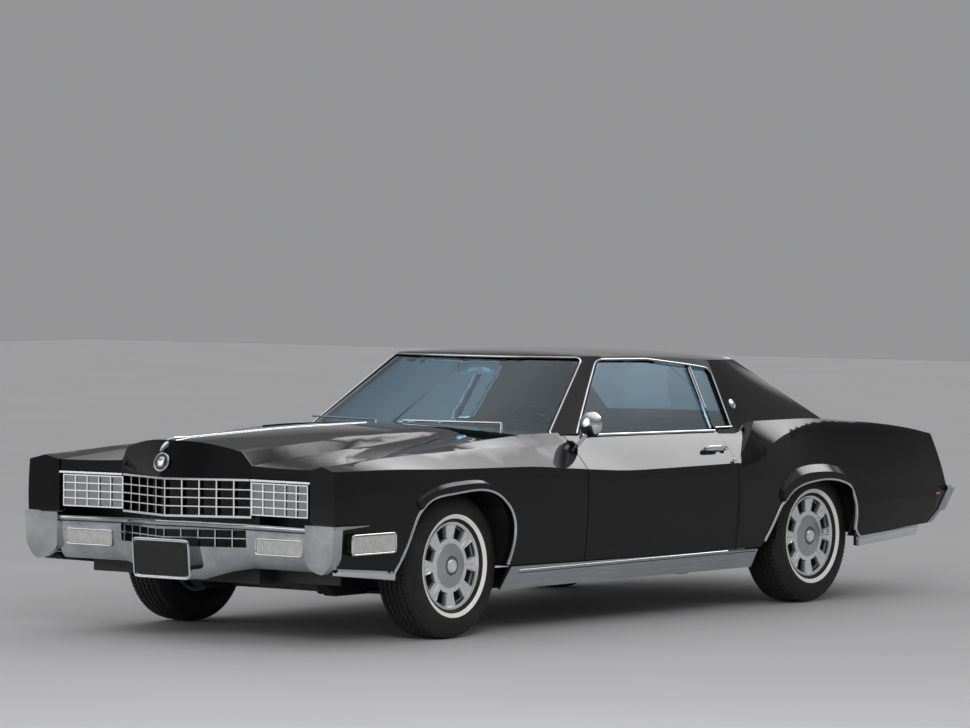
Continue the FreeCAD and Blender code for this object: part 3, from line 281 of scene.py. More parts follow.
def dress(name, material):  # a carried-over node: its finish, joined vertices and crisp edges
    item = nodes[name]
    item.data.materials.clear()
    item.data.materials.append(material)
    item.data.polygons.foreach_set("use_smooth", np.ones(len(item.data.polygons), bool))
    weld = item.modifiers.new("weld", "WELD")
    weld.merge_threshold = finish["weld"]
    split = item.modifiers.new("crisp", "EDGE_SPLIT")
    split.split_angle = math.radians(finish["crisp"])


for name in nodes:
    dress(name, looks[slotOf.get(name, "satin_black")])
# painted shade: the lamp door panels behind the bars get a darker copy of the brushed bright metal
lampPanelShade = brushedMetal("lampPanelShadedSilver", (0.2, 0.205, 0.21), (0.28, 0.285, 0.29), 0.38,
                          (60, 60, 500), 0.1)
barBright = plainCoat("grilleBars", (0.84, 0.85, 0.86), (0.92, 0.92, 0.93), 0.24, 0.32,
                      7, 90, 0.01, Metallic=0.5)
grilleDark = polished("grilleShade", (0.05, 0.05, 0.052), (0.09, 0.09, 0.092), 0.3, 0.45)
# painted shade: the bumpers get a darker copy of the bright chrome
shadedBumperChrome = polished("shadedBumperChrome", (0.4, 0.41, 0.43), (0.64, 0.65, 0.67), 0.04, 0.1)
for name, material in (("grille", grilleDark), ("headlamp_door_left", lampPanelShade),
                       ("headlamp_door_right", lampPanelShade), ("front_bumper", shadedBumperChrome),
                       ("rear_bumper", shadedBumperChrome)):
    nodes[name].data.materials[0] = material
print("stage: nodes dressed")

middleY = 1663.5  # from the front axle to the middle of the car, in millimetres
axleHeight = 353  # and the tyres' radius
farOut, farBack = 1200, 5200  # beside and behind the car, where points lie before they are thrown on to it
reach = 3000  # how far back from its point each ray starts
chromed, darkTrim = looks["chrome"], looks["trim"]
sides = (("left", 1), ("right", -1))


# surfaces: grids of points in millimetres from the front axle's middle on the ground

def skin(points, closeRows=False, closeColumns=False, capEnds=False):  # a grid of points made into quads
    rows, columns = points.shape[:2]
    downs, rights = np.arange(rows - (not closeRows)), np.arange(columns - (not closeColumns))
    r, c = np.meshgrid(downs, rights, indexing="ij")
    down, across = (r + 1) % rows, (c + 1) % columns
    quads = np.stack([r * columns + c, r * columns + across, down * columns + across, down * columns + c], -1)
    ends = [np.arange(columns)[::-1], np.arange((rows - 1) * columns, rows * columns)] if capEnds else []
    return points.reshape(-1, 3), quads.reshape(-1, 4), ends


def piece(name, shells, material, body, crisp=30, bevel=0, masks=None):  # shells joined into one part
    count, places, faces = 0, [], []
    for points, quads, ends in shells:
        places.append(points)
        faces += (quads + count).tolist() + [(end + count).tolist() for end in ends]
        count += len(points)
    mesh = bpy.data.meshes.new(name)
    mesh.from_pydata(((np.concatenate(places) - (0, middleY, 0)) / 1000).tolist(), [], faces)
    outward = bmesh.new()
    outward.from_mesh(mesh)
    bmesh.ops.recalc_face_normals(outward, faces=outward.faces)
    outward.to_mesh(mesh)
    outward.free()
    for label, values in (masks or {}).items():
        field = mesh.attributes.new(label, "FLOAT", "POINT")
        field.data.foreach_set("value", np.asarray(values, np.float32))
    mesh.polygons.foreach_set("use_smooth", np.ones(len(mesh.polygons), bool))
    mesh.materials.append(material)
    item = bpy.data.objects.new(name, mesh)
    scene.collection.objects.link(item)
    if bevel:
        rounding = item.modifiers.new("rounding", "BEVEL")
        rounding.width, rounding.segments = bevel / 1000, 2
    split = item.modifiers.new("crisp", "EDGE_SPLIT")
    split.split_angle = math.radians(crisp)
    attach(item, body)
    return item


def bright(name, shells, body, crisp=40, bevel=0):  # a piece of bright trim
    return piece(name, shells, chromed, body, crisp, bevel)


def handed(points, sign):  # points or a direction given for the left side, on either side
    return np.asarray(points, float) * (sign, 1, 1)


def flipped(shell):  # the same shell on the other side of the car
    points, quads, ends = shell
    return points * (-1, 1, 1), quads, ends


def bothSides(shells):
    return shells + [flipped(shell) for shell in shells]


def curve(points, count):  # Catmull-Rom curve: cubic between points, its slope half the step across each
    p = np.asarray(points, float)
    p = np.vstack([2 * p[0] - p[1], p, 2 * p[-1] - p[-2]])
    t = np.linspace(0, len(points) - 1 - 1e-9, count)
    k = t.astype(int)
    f = (t - k)[:, None]
    a, b, c, d = p[k], p[k + 1], p[k + 2], p[k + 3]
    bend, twist = 2 * a - 5 * b + 4 * c - d, 3 * b - a - 3 * c + d
    return 0.5 * (2 * b + (c - a) * f + bend * f ** 2 + twist * f ** 3)


def softened(path, steps, closed=False):  # each point averaged with its neighbours, an open path's ends kept
    for step in range(steps):
        if closed:
            path = (np.roll(path, 1, 0) + 2 * path + np.roll(path, -1, 0)) / 4
        else:
            path[1:-1] = (path[:-2] + 2 * path[1:-1] + path[2:]) / 4
    return path


def rounded(points, count, soften, closed=False):  # straight runs in even steps, their corners softened
    p = np.asarray(points + points[:1] if closed else points, float)
    length = np.concatenate([[0], np.cumsum(np.linalg.norm(np.diff(p, axis=0), axis=1))])
    t = np.linspace(0, length[-1], count, endpoint=not closed)
    path = np.stack([np.interp(t, length, p[:, k]) for k in range(p.shape[1])], -1)
    return softened(path, soften, closed)


def unit(vectors):
    return vectors / np.linalg.norm(vectors, axis=-1, keepdims=True)


def sweep(path, section, up, closed=False, scale=1):  # (sideways, upward) points carried along a path
    path = np.asarray(path, float)
    along = unit(np.roll(path, -1, 0) - np.roll(path, 1, 0) if closed else np.gradient(path, axis=0))
    side = unit(np.cross(along, np.broadcast_to(up, path.shape)))
    lift = np.cross(side, along)
    size = np.broadcast_to(scale, len(path))[:, None, None]
    s = np.asarray(section, float)[None]
    return skin(path[:, None] + size * (s[..., :1] * side[:, None] + s[..., 1:] * lift[:, None]),
                closeRows=closed, closeColumns=True, capEnds=not closed)


def ring(radius, count):  # round section
    t = np.linspace(0, 2 * np.pi, count, endpoint=False)
    return radius * np.stack([np.cos(t), np.sin(t)], -1)


def circle(centre, radius, across, upward, count):  # path round a centre: cosine across, sine upward
    t = np.linspace(0, 2 * np.pi, count, endpoint=False)[:, None]
    return centre + radius * (np.cos(t) * across + np.sin(t) * upward)


def crown(width, height, sink):  # half-round strip section standing on a surface, its foot sunk into it
    t = np.linspace(0, np.pi, 7)
    arc = np.stack([0.5 * width * np.cos(t), height * np.sin(t)], -1)
    return np.vstack([(0.5 * width, -sink), arc, (-0.5 * width, -sink)])


def button(centre, across, upward, a, b, rise, power=2, steps=40):
    # rings of a superellipse |x/a|^p + |y/b|^p = 1, each shrunk to a share of it and lifted to a height
    across, upward = unit(np.asarray(across, float)), unit(np.asarray(upward, float))
    out = np.cross(across, upward)
    t = np.linspace(0, 2 * np.pi, steps, endpoint=False)
    c, s = np.cos(t), np.sin(t)
    x, y = a * np.sign(c) * np.abs(c) ** (2 / power), b * np.sign(s) * np.abs(s) ** (2 / power)
    rings = [np.asarray(centre) + share * (x[:, None] * across + y[:, None] * upward) + height * out
             for share, height in rise]
    return skin(np.stack(rings), closeColumns=True, capEnds=True)


def block(low, high):  # box between two corners
    low, high = np.asarray(low, float), np.asarray(high, float)
    corners = np.array([(0, 0, 0), (1, 0, 0), (1, 1, 0), (0, 1, 0),
                        (0, 0, 1), (1, 0, 1), (1, 1, 1), (0, 1, 1)])
    quads = np.array([(0, 3, 2, 1), (4, 5, 6, 7), (0, 1, 5, 4), (1, 2, 6, 5), (2, 3, 7, 6), (3, 0, 4, 7)])
    return low + corners * (high - low), quads, []


def sideBlock(sign, x, y, z):  # box on either side, between pairs of distances given for the left
    low, high = sorted((sign * x[0], sign * x[1]))
    return block((low, y[0], z[0]), (high, y[1], z[1]))


def wedge(outline, low, high):  # a closed (y, z) outline carried across the car between two distances
    y, z = np.asarray(outline, float).T
    ends = [np.stack([0 * y + x, y, z], -1) for x in (low, high)]
    return skin(np.stack(ends), closeColumns=True, capEnds=True)


def slantBox(x0, x1, z0, z1, y0, y1, thick):  # bar whose front runs from (x0, y0) to (x1, y1) in plan
    corners = np.array([(x0, y0), (x1, y1), (x1, y1 + thick), (x0, y0 + thick)], float)
    rows = [np.concatenate([corners, np.full((4, 1), z)], 1) for z in (z0, z1)]
    return skin(np.stack(rows), closeColumns=True, capEnds=True)


def facesOf(name):  # a search tree of a node's CAD faces, in the same millimetres
    item = nodes[name]
    mesh = item.data
    places = np.empty(len(mesh.vertices) * 3)
    mesh.vertices.foreach_get("co", places)
    turn = np.array(item.matrix_world)
    vertices = (places.reshape(-1, 3) @ turn[:3, :3].T + turn[:3, 3]) * 1000 + (0, middleY, 0)
    mesh.calc_loop_triangles()
    corners = np.empty(len(mesh.loop_triangles) * 3, int)
    mesh.loop_triangles.foreach_get("vertices", corners)
    return BVHTree.FromPolygons(vertices.tolist(), corners.reshape(-1, 3).tolist())


def cast(tree, path, direction):  # path points thrown along a direction on to the surface, those that hit
    direction = Vector(direction).normalized()
    hits = [tree.ray_cast(Vector(point) - direction * reach, direction) for point in path.tolist()]
    return np.array([tuple(hit[0]) for hit in hits if hit[0] is not None])


def castFromSide(tree, sign, y, z):  # points of the car's side at these places, thrown inwards
    y, z = np.atleast_1d(np.asarray(y, float)), np.atleast_1d(np.asarray(z, float))
    return cast(tree, np.stack([0 * y + sign * farOut, y, z], -1), (-sign, 0, 0))


# tyres and wheels

tyreShape = {
    "outer": [(69, 190.5), (80, 199), (92, 213), (103, 229), (111, 246), (114.5, 266), (113, 288),
    (107.5, 310), (100, 328), (92, 341)], "bead": 66, "beadRadius": 190.5, "treadHalf": 86, "crownDrop": 7,
    "turns": 360, "white": (229, 249), "grooves": (-58, -29, 0, 29, 58), "groove": 7, "grooveWidth": 3.4,
    "grooveEdge": 1.3, "zigzag": 4.5, "zigzagSteps": 6, "zigzagReach": 70, "shoulder": 72, "cutDepth": 4.5,
    "cutEvery": 4, "sipeFrom": 326, "sipe": 2.1}
wheelPlaces = {
    "front_left": (1, 806.5, 0), "front_right": (-1, 806.5, 0), "rear_left": (1, 800, 3048),
    "rear_right": (-1, 800, 3048)}


def aboutAxle(name, across, radius, angles):  # a section of distances and radii turned about a wheel's axle
    sign, out, y = wheelPlaces[name]
    turn = angles[:, None]
    rearward, upward = radius * np.cos(turn), radius * np.sin(turn)
    return np.stack([sign * (out + across), y + rearward, axleHeight + upward], -1)


def tyreRubber():
    material, tree, principled = shader("tyreRubberRing", Specular_IOR_Level=0.35)
    band = put(tree, "ShaderNodeAttribute", {"attribute_name": "white"})
    wander = useGroup(tree, mottle, Scale=14)
    dark = ramp(tree, [(0, (0.011, 0.011, 0.011)), (1, (0.022, 0.021, 0.02))])
    white = ramp(tree, [(0, (0.78, 0.77, 0.74)), (1, (0.86, 0.85, 0.82))])
    mix = put(tree, "ShaderNodeMix", {"data_type": "RGBA"})
    wire(tree, (wander, "Value", dark, "Fac"), (wander, "Value", white, "Fac"), (band, "Fac", mix, 0),
         (dark, "Color", mix, 6), (white, "Color", mix, 7), (mix, 2, principled, "Base Color"))
    roughFrom(tree, principled, 0.5, 0.75, 25)
    rippled(tree, principled, 500, 0.1)
    return material


def makeTyres():
    # height of the tread = tyre radius less a crown drop by (x/half)^2, less groove depth inside zigzag
    # grooves whose columns shift by a triangle wave, and less a cut every fourth step at the shoulders
    shape, half, material = tyreShape, tyreShape["treadHalf"], tyreRubber()
    low, high = shape["white"]
    wall = curve(shape["outer"], 30)
    radii = np.sort(np.concatenate([wall[:, 1], [low - 0.4, low, high, high + 0.4]]))
    wall = np.stack([np.interp(radii, wall[:, 1], wall[:, 0]), radii], -1)
    grooves, wide, edge = np.array(shape["grooves"]), shape["grooveWidth"], shape["grooveEdge"]
    columns = (grooves[:, None] + np.array([-wide - edge, -wide, wide, wide + edge])).ravel()
    columns = np.sort(np.concatenate([columns, np.linspace(-half, half, 17)]))
    columns = columns[np.concatenate([[True], np.diff(columns) > 0.6])]
    steps = np.arange(shape["turns"])
    angles = np.linspace(0, 2 * np.pi, len(steps), endpoint=False)
    wave = np.abs(((steps / shape["zigzagSteps"]) % 1) * 2 - 1) * 2 - 1
    inGroove = (np.abs(columns[:, None] - grooves[None]) < wide + 0.1).any(1)
    shift = shape["zigzag"] * wave[:, None] * (np.abs(columns) < shape["zigzagReach"])[None]
    crest = axleHeight - shape["crownDrop"] * (columns / half) ** 2
    notched = (steps % shape["cutEvery"] == 0)[:, None]
    cut = notched * (np.abs(columns) > shape["shoulder"])[None]
    depth = shape["groove"] * inGroove[None] + shape["cutDepth"] * cut
    tread = np.stack([columns[None] + shift, crest[None] - depth], -1)
    sipe = notched * (wall[:, 1] > shape["sipeFrom"])[None] * shape["sipe"]
    side = wall[None] - sipe[..., None]
    bead = np.array([(shape["bead"], shape["beadRadius"]), (-shape["bead"], shape["beadRadius"])])
    inner = np.broadcast_to(bead, (len(steps), 2, 2))
    whole = np.concatenate([side, tread[:, ::-1], side[:, ::-1] * (-1, 1), inner[:, ::-1]], 1)
    white = np.zeros(whole.shape[1], bool)
    white[:len(wall)] = (wall[:, 1] > low - 0.2) & (wall[:, 1] < high + 0.2)
    for name in wheelPlaces:
        points = aboutAxle(name, whole[..., 0], whole[..., 1], angles)
        item = piece("roadTyre_" + name, [skin(points, closeRows=True, closeColumns=True)], material,
                     "road_wheel_" + name, masks={"white": np.tile(white, len(steps))})
        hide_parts("tyre_" + name)


# profile holds (radius, distance out) points from the middle, and back (distance out, radius) points;
# hubShade, coneShade and barrel set where shade is painted on the cover
coverShape = {
    "profile": [(0, 103), (28, 102), (32, 98), (36, 92), (46, 91.5), (50, 95), (60, 93.5), (103, 86),
    (106, 82.5), (110, 81), (150, 80), (196, 84), (201, 87), (207, 90), (212, 91), (214.5, 87)],
    "back": [(84, 210), (74, 203), (70, 190.3), (-70, 190.3), (-72, 202), (-82, 204), (-84, 199),
    (-80, 180), (28.3, 176), (28.3, 3)], "stations": 64, "turns": 360, "windows": 8, "windowIn": 133,
    "windowOut": 197, "windowHalf": 27, "widen": 9, "depth": 24, "soft": 1.5, "rib": 3.5, "ribSet": 4,
    "ribSoft": (1.5, 4), "seamDepth": 3, "seamSoft": (2, 5), "seamIn": (108, 112), "seamOut": (194, 198),
    "hubRing": (34, 47), "hubShade": 0.8, "cone": (49, 104), "coneShade": 0.42, "barrel": 185}


def wheelSteel():
    material, tree, principled = shader("wheelCoverSteelPaintedShade", Metallic=0.75)
    # painted shade: where the deep attribute rises, the colour is mixed towards near black
    deep = put(tree, "ShaderNodeAttribute", {"attribute_name": "deep"})
    wander = useGroup(tree, mottle, Scale=9)
    bright = ramp(tree, [(0, (0.74, 0.75, 0.77)), (1, (0.88, 0.89, 0.9))])
    mix = put(tree, "ShaderNodeMix", {"data_type": "RGBA"})
    mix.inputs[7].default_value = (0.012, 0.012, 0.013, 1)
    rough = put(tree, "ShaderNodeMapRange", To_Min=0.17, To_Max=0.6)
    wire(tree, (wander, "Value", bright, "Fac"), (deep, "Fac", mix, 0), (bright, "Color", mix, 6),
         (mix, 2, principled, "Base Color"), (deep, "Fac", rough, "Value"),
         (rough, 0, principled, "Roughness"))
    return material


def smoothStep(x, low, high):  # 3t^2 - 2t^3 between two values
    t = np.clip((x - low) / (high - low), 0, 1)
    return t * t * (3 - 2 * t)


def makeCovers():
    # outward distance = a turned profile, less a depth inside each window, plus a rib round each window,
    # less a seam down the middle of each spoke
    shape, material = coverShape, wheelSteel()
    inner, outer, soft, turns = shape["windowIn"], shape["windowOut"], shape["soft"], shape["turns"]
    radii, heights = zip(*shape["profile"])
    edges = [inner - soft, inner + soft, outer - soft, outer + soft]
    back = np.array(shape["back"])
    even = np.linspace(back[-1, 1], radii[-1], shape["stations"])
    stations = np.unique(np.concatenate([even, radii[1:], edges]))
    base = np.interp(stations, radii, heights)
    angles = np.linspace(0, 2 * np.pi, turns, endpoint=False)
    step = 2 * np.pi / shape["windows"]
    fromWindow = angles % step - step / 2
    fromSpoke = np.where(angles % step > step / 2, angles % step - step, angles % step)
    across = np.abs(stations[None] * np.sin(fromWindow)[:, None])
    spokeAcross = np.abs(stations[None] * np.sin(fromSpoke)[:, None])
    half = shape["windowHalf"] + shape["widen"] * smoothStep(stations, inner, outer)[None]
    radial = smoothStep(stations, *edges[:2]) * (1 - smoothStep(stations, *edges[2:]))
    window = (1 - smoothStep(across, half - soft, half + soft)) * radial[None]
    rib = (1 - smoothStep(np.abs(across - half - shape["ribSet"]), *shape["ribSoft"])) * radial[None]
    seamLength = smoothStep(stations, *shape["seamIn"]) * (1 - smoothStep(stations, *shape["seamOut"]))
    seam = (1 - smoothStep(spokeAcross, *shape["seamSoft"])) * seamLength
    x = base[None] - shape["depth"] * window + shape["rib"] * rib - shape["seamDepth"] * seam
    allX = np.concatenate([x, np.broadcast_to(back[:, 0], (turns, len(back)))], 1)
    allRadii = np.broadcast_to(np.concatenate([stations, back[:, 1]]), allX.shape)
    # painted shade: the deep attribute is 1 in the windows and on the back inside the barrel, hubShade on the
    # hub's ring and coneShade on the cone
    inRing = (stations > shape["hubRing"][0]) & (stations < shape["hubRing"][1])
    onCone = (stations > shape["cone"][0]) & (stations < shape["cone"][1])
    shade = np.maximum(window > 0.5, (shape["hubShade"] * inRing + shape["coneShade"] * onCone)[None])
    barrelShade = np.broadcast_to((back[:, 1] < shape["barrel"]) * 1.0, (turns, len(back)))
    deep = np.concatenate([shade, barrelShade], 1)
    for name in wheelPlaces:
        points = aboutAxle(name, allX, allRadii, angles).transpose(1, 0, 2)
        item = piece("wheelCover_" + name, [skin(points, closeColumns=True, capEnds=True)], material,
                     "road_wheel_" + name, crisp=24, masks={"deep": deep.T.ravel()})
        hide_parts("wheel_" + name)


makeTyres()
makeCovers()
print("stage: tyres and wheel covers made")


# bright trim on the glass, panels and nose; a strip is its width, its rise and how deep its foot sits

# each screen's edge is a quadratic curve in plan, given at two heights; share is its side's place on it
screenPlanes = (900, 1400)
screens = {
    "windshield": {"low": [(0, 440), (600, 440), (826, 900)], "high": [(0, 1420), (470, 1420),
    (583, 1545)], "share": 0.945, "foot": 940, "head": 1321, "out": (0.5, -1, 1), "up": (0, -0.75, 0.66)},
    "rear": {"low": [(770, 3480), (400, 3640), (0, 3640)], "high": [(500, 2600), (260, 2700), (0, 2700)],
    "share": 0.045, "foot": 985, "head": 1293, "out": (0.5, 1, 1), "up": (0, 0.6, 0.8)},
    "strip": (9, 4.5, 3)}
sideGlass = {
    "outline": [(1052, 955), (1489, 1312), (1900, 1307), (2256, 1270), (2414, 1249), (2368, 957)],
    "strip": (9, 4.5, 2), "lean": (0.86, 0, 0.5), "postFoot": (2212, 954), "postHead": (2249, 1262),
    "postStrip": (11, 3.5, 2), "sill": [(868, 2214, 951), (868, 2362, 951)], "sillStrip": (8, 4, 2),
    "sillUp": (0.6, 0, 0.8)}
doorBelt = {
    "line": [(871, 1072, 947), (871, 1650, 941), (871, 2208, 936)], "strip": (12, 6, 3),
    "up": (0.5, 0, 0.87), "frame": [(858, 2192, 950), (770, 2211, 1105), (684, 2229, 1256)],
    "frameStrip": (9, 3, 4), "frameUp": (0.87, 0, 0.5)}


def outlinePoint(screen, share, z):  # quadratic curve at a share along it, its controls sliding with height
    low, high = screenPlanes
    part = ((z - low) / (high - low))[:, None]
    a, b, c = (np.asarray(under) + (np.asarray(over) - np.asarray(under)) * part
               for under, over in zip(screen["low"], screen["high"]))
    s = share[:, None]
    flat = a * (1 - s) ** 2 + 2 * b * s * (1 - s) + c * s * s
    return np.concatenate([flat, z[:, None]], 1)


def screenMoulding(screen):  # up one side, along the head and down the other side
    atSide, count = screen["share"], 30
    foot, head = screen["foot"], screen["head"]
    z = np.concatenate([np.linspace(foot, head, count), np.full(count - 1, head)])
    toMiddle = np.linspace(atSide, 0 if atSide > 0.5 else 1, count)
    half = outlinePoint(screen, np.concatenate([np.full(count, atSide), toMiddle[1:]]), z) + screen["out"]
    path = softened(np.vstack([half, (half * (-1, 1, 1))[::-1][1:]]), 6)
    return sweep(path, crown(*screens["strip"]), screen["up"])


def makeReveals():
    # strips round both screens, strips and a post thrown on to the roof panel at the side glass, and a sill
    roof = facesOf("roof_panel")
    shells = [screenMoulding(screens["windshield"]), screenMoulding(screens["rear"])]
    outline = rounded(sideGlass["outline"], 120, 6)
    post = np.linspace(sideGlass["postFoot"], sideGlass["postHead"], 24)
    for side, sign in sides:
        lean = handed(sideGlass["lean"], sign)
        shells.append(sweep(castFromSide(roof, sign, *outline.T), crown(*sideGlass["strip"]), lean))
        shells.append(sweep(castFromSide(roof, sign, *post.T), crown(*sideGlass["postStrip"]), lean))
        sill = curve(handed(sideGlass["sill"], sign), 8)
        shells.append(sweep(sill, crown(*sideGlass["sillStrip"]), handed(sideGlass["sillUp"], sign)))
    bright("glassReveals", shells, "body_shell")


def makeDoorBelts():
    # a strip along the foot of each door glass and one up its rear edge
    for side, sign in sides:
        belt, rearEdge = curve(handed(doorBelt["line"], sign), 30), curve(handed(doorBelt["frame"], sign), 20)
        shells = [sweep(belt, crown(*doorBelt["strip"]), handed(doorBelt["up"], sign)),
                  sweep(rearEdge, crown(*doorBelt["frameStrip"]), handed(doorBelt["frameUp"], sign))]
        bright("doorBelt_" + side, shells, "door_" + side)


# place, half width, half height, rings of (share, height), and the power of the outline
doorHandle = {
    "grip": ((951, 2100, 851), 96, 14, [(1, -4), (1, 1), (0.96, 5), (0.7, 8), (0.05, 9)], 3),
    "bar": ((956, 2065, 855), 68, 7, [(1, -2), (1, 14), (0.85, 19), (0.05, 20)], 3),
    "button": ((955, 2178, 850), 12, 12, [(1, -3), (1, 12), (0.8, 14), (0.05, 14)], 2),
    "lock": ((1003, 2196, 786), 11, 11, [(1, -3), (1, 3), (0.8, 5), (0.05, 5)], 2)}
handleLean = -0.02
tailLean = -0.26
trunkButton = {"height": 796, "radius": 24, "rings": [(1, -6), (1, 6), (0.8, 9), (0.05, 9)]}
pillarBadge = {
    "place": (2478, 1063), "half": (24, 27), "up": (-0.5, 0, 0.87), "rings": [(1, -4), (1, 3), (0.9, 5),
    (0.78, 5), (0.72, 2), (0.4, 3), (0.05, 4)]}


def makeHandles():  # crowned plates: the grip with its raised bar, the push button and the lock
    for side, sign in sides:
        across = (0, sign, handleLean * sign)
        shells = [button(handed(place, sign), across, (0, 0, 1), *rest)
                  for place, *rest in doorHandle.values()]
        bright("doorHandle_" + side, shells, "door_" + side)


def onTail(height):  # the middle of the tail panel at a height
    return cast(facesOf("tail_panel"), np.array([(0.0, farBack, height)]), (0, -1, 0))[0]


def makeTrunkButton():  # a crowned disc on the tail panel, square to its lean
    radius = trunkButton["radius"]
    knob = button(onTail(trunkButton["height"]), (-1, 0, 0), (0, tailLean, 1), radius, radius,
                  trunkButton["rings"])
    bright("trunkButton", [knob], "body_shell")


def makePillarBadges():  # a plain round badge on each rear pillar
    roof = facesOf("roof_panel")
    for side, sign in sides:
        spot = castFromSide(roof, sign, *pillarBadge["place"])[0]
        disc = button(spot, (0, sign, 0), handed(pillarBadge["up"], sign), *pillarBadge["half"],
                      pillarBadge["rings"])
        bright("pillarBadge_" + side, [disc], "body_shell")


hoodTrim = {
    "noseRun": (-1040, -930), "hoodRun": (-920, 440), "above": 1500, "strip": (7, 4, 1),
    "stripY": [-1040, -1000, -940, -900, 440], "stripScale": [1.6, 3.2, 2.4, 1, 0.7],
    "badge": (0, -1086.0, 862), "badgeUp": (0, 0.3, 0.954), "badgeOut": (0, -1, 0.3), "ringRadius": 43,
    "ringWire": 4.6, "shield": (21, 25), "shieldPower": 3.4, "shieldRings": [(1, -8), (1, 4), (0.86, 7),
    (0.05, 8)], "dish": 41, "dishRings": [(1, -9), (1, 0), (0.05, 0)], "ornament": [(0, -1092, 915),
    (0, -1070, 934), (0, -1035, 949), (0, -965, 953)], "ornamentStrip": (18, 9, 8),
    "ornamentScale": [0.5, 1, 1.5, 0.7], "ornamentUp": (0, -0.6, 0.8)}


def makeHoodTrim():
    # a strip down the hood's middle, thrown on to it, a plain ring badge with a blank shield, and an ornament
    y = np.concatenate([np.linspace(*hoodTrim["noseRun"], 14), np.linspace(*hoodTrim["hoodRun"], 60)])
    path = cast(facesOf("hood"), np.stack([0 * y, y, 0 * y + hoodTrim["above"]], -1), (0, 0, -1))
    path[:, 0] = 0
    wide = np.interp(path[:, 1], hoodTrim["stripY"], hoodTrim["stripScale"])
    strip = sweep(path, crown(*hoodTrim["strip"]), (0, 0, 1), scale=wide)
    middle, across, upward = (np.array(v, float) for v in (hoodTrim["badge"], (1, 0, 0), hoodTrim["badgeUp"]))
    loop = circle(middle, hoodTrim["ringRadius"], across, upward, 56)
    band = sweep(loop, ring(hoodTrim["ringWire"], 8), hoodTrim["badgeOut"], closed=True)
    shield = button(middle, across, upward, *hoodTrim["shield"], hoodTrim["shieldRings"],
                    hoodTrim["shieldPower"])
    spine = curve(hoodTrim["ornament"], 16)
    tall = np.interp(np.arange(16), [0, 3, 9, 15], hoodTrim["ornamentScale"])
    ornament = sweep(spine, crown(*hoodTrim["ornamentStrip"]), hoodTrim["ornamentUp"], scale=tall)
    dish = button(middle, across, upward, hoodTrim["dish"], hoodTrim["dish"], hoodTrim["dishRings"])
    dark = plainCoat("badgeBlack", (0.006, 0.006, 0.007), (0.01, 0.01, 0.011), 0.15, 0.25, 30, 60, 0.01)
    piece("hoodBadgeDish", [dish], dark, "hood", crisp=40)
    bright("hoodSpine", [strip, band, shield, ornament], "hood")


# the left lamps' faces, each between two points in plan and two heights
lampPlates = {
    "turn": {"ends": ((463, -931), (747, -937.5)), "heights": (441, 505), "thick": 12,
    "frameEnds": ((458, -932), (752, -938)), "frameHeights": (436, 510), "out": (-0.04, -1, 0)},
    "corner": {"ends": ((1004.5, -868), (1004.5, -558)), "heights": (458, 537), "thick": 6,
    "frameEnds": ((1003, -874), (1003, -552)), "frameHeights": (452, 543), "out": (1, 0, 0)}}
lampShape = {"flutes": 20, "fluteDepth": 2.2, "frame": (9, 5, 3)}


def flutedPlate(lamp):
    # front = the lamp's face plus a flute depth times |sin| across it; a flat back and closed ends
    share = np.linspace(0, 1, 121)
    a, b = (np.array((*end, 0), float) for end in lamp["ends"])
    z0, z1 = lamp["heights"]
    out = np.asarray(lamp["out"], float)
    line = (a + (b - a) * share[:, None])[None]
    wave = np.abs(np.sin(share * np.pi * lampShape["flutes"])) * lampShape["fluteDepth"]
    front = line + np.array([(0, 0, z) for z in np.linspace(z0, z1, 5)])[:, None] + out * wave[None, :, None]
    back = line + np.array([(0, 0, z1), (0, 0, z0)])[:, None] - out * lamp["thick"]
    return skin(np.concatenate([front, back]).transpose(1, 0, 2), closeColumns=True, capEnds=True)


def lampFrame(lamp):  # a strip swept round the edge of a lamp's face
    (x0, y0), (x1, y1) = lamp["frameEnds"]
    z0, z1 = lamp["frameHeights"]
    path = rounded([(x0, y0, z0), (x1, y1, z0), (x1, y1, z1), (x0, y0, z1)], 96, 3, closed=True)
    return sweep(path, crown(*lampShape["frame"]), lamp["out"], closed=True)


def makeLampTrim():
    lens = plainCoat("flutedLens", (0.5, 0.5, 0.49), (0.66, 0.66, 0.64), 0.12, 0.2, 30, 60, 0.02,
                     Coat_Weight=1, Metallic=0.55)
    plates = bothSides([flutedPlate(lamp) for lamp in lampPlates.values()])
    piece("lampLenses", plates, lens, "body_shell", crisp=50)
    frames = bothSides([lampFrame(lamp) for lamp in lampPlates.values()])
    bright("lampFrames", frames, "body_shell")


makeReveals()
makeDoorBelts()
makeHandles()
makeTrunkButton()
makePillarBadges()
makeHoodTrim()
makeLampTrim()
print("stage: bright trim and lamps made")

# each opening's middle and the panel beside it; x values are distances from the car's middle
arch = {
    "openings": ((-125, 353, "front_fender_left"), (2868, 345, "quarter_panel_left")), "from": 968,
    "panelOut": 16, "lipOut": 4, "widest": 1016.5, "width": 15, "rise": 5, "sink": 9,
    "rearStrip": ([(3384, 287), (3384, 341), (3963, 370), (3932, 322)], 944, 982),
    "frontStrip": ([(-915, 355), (-915, 389), (-500, 357), (-504, 313)], 918, 960)}


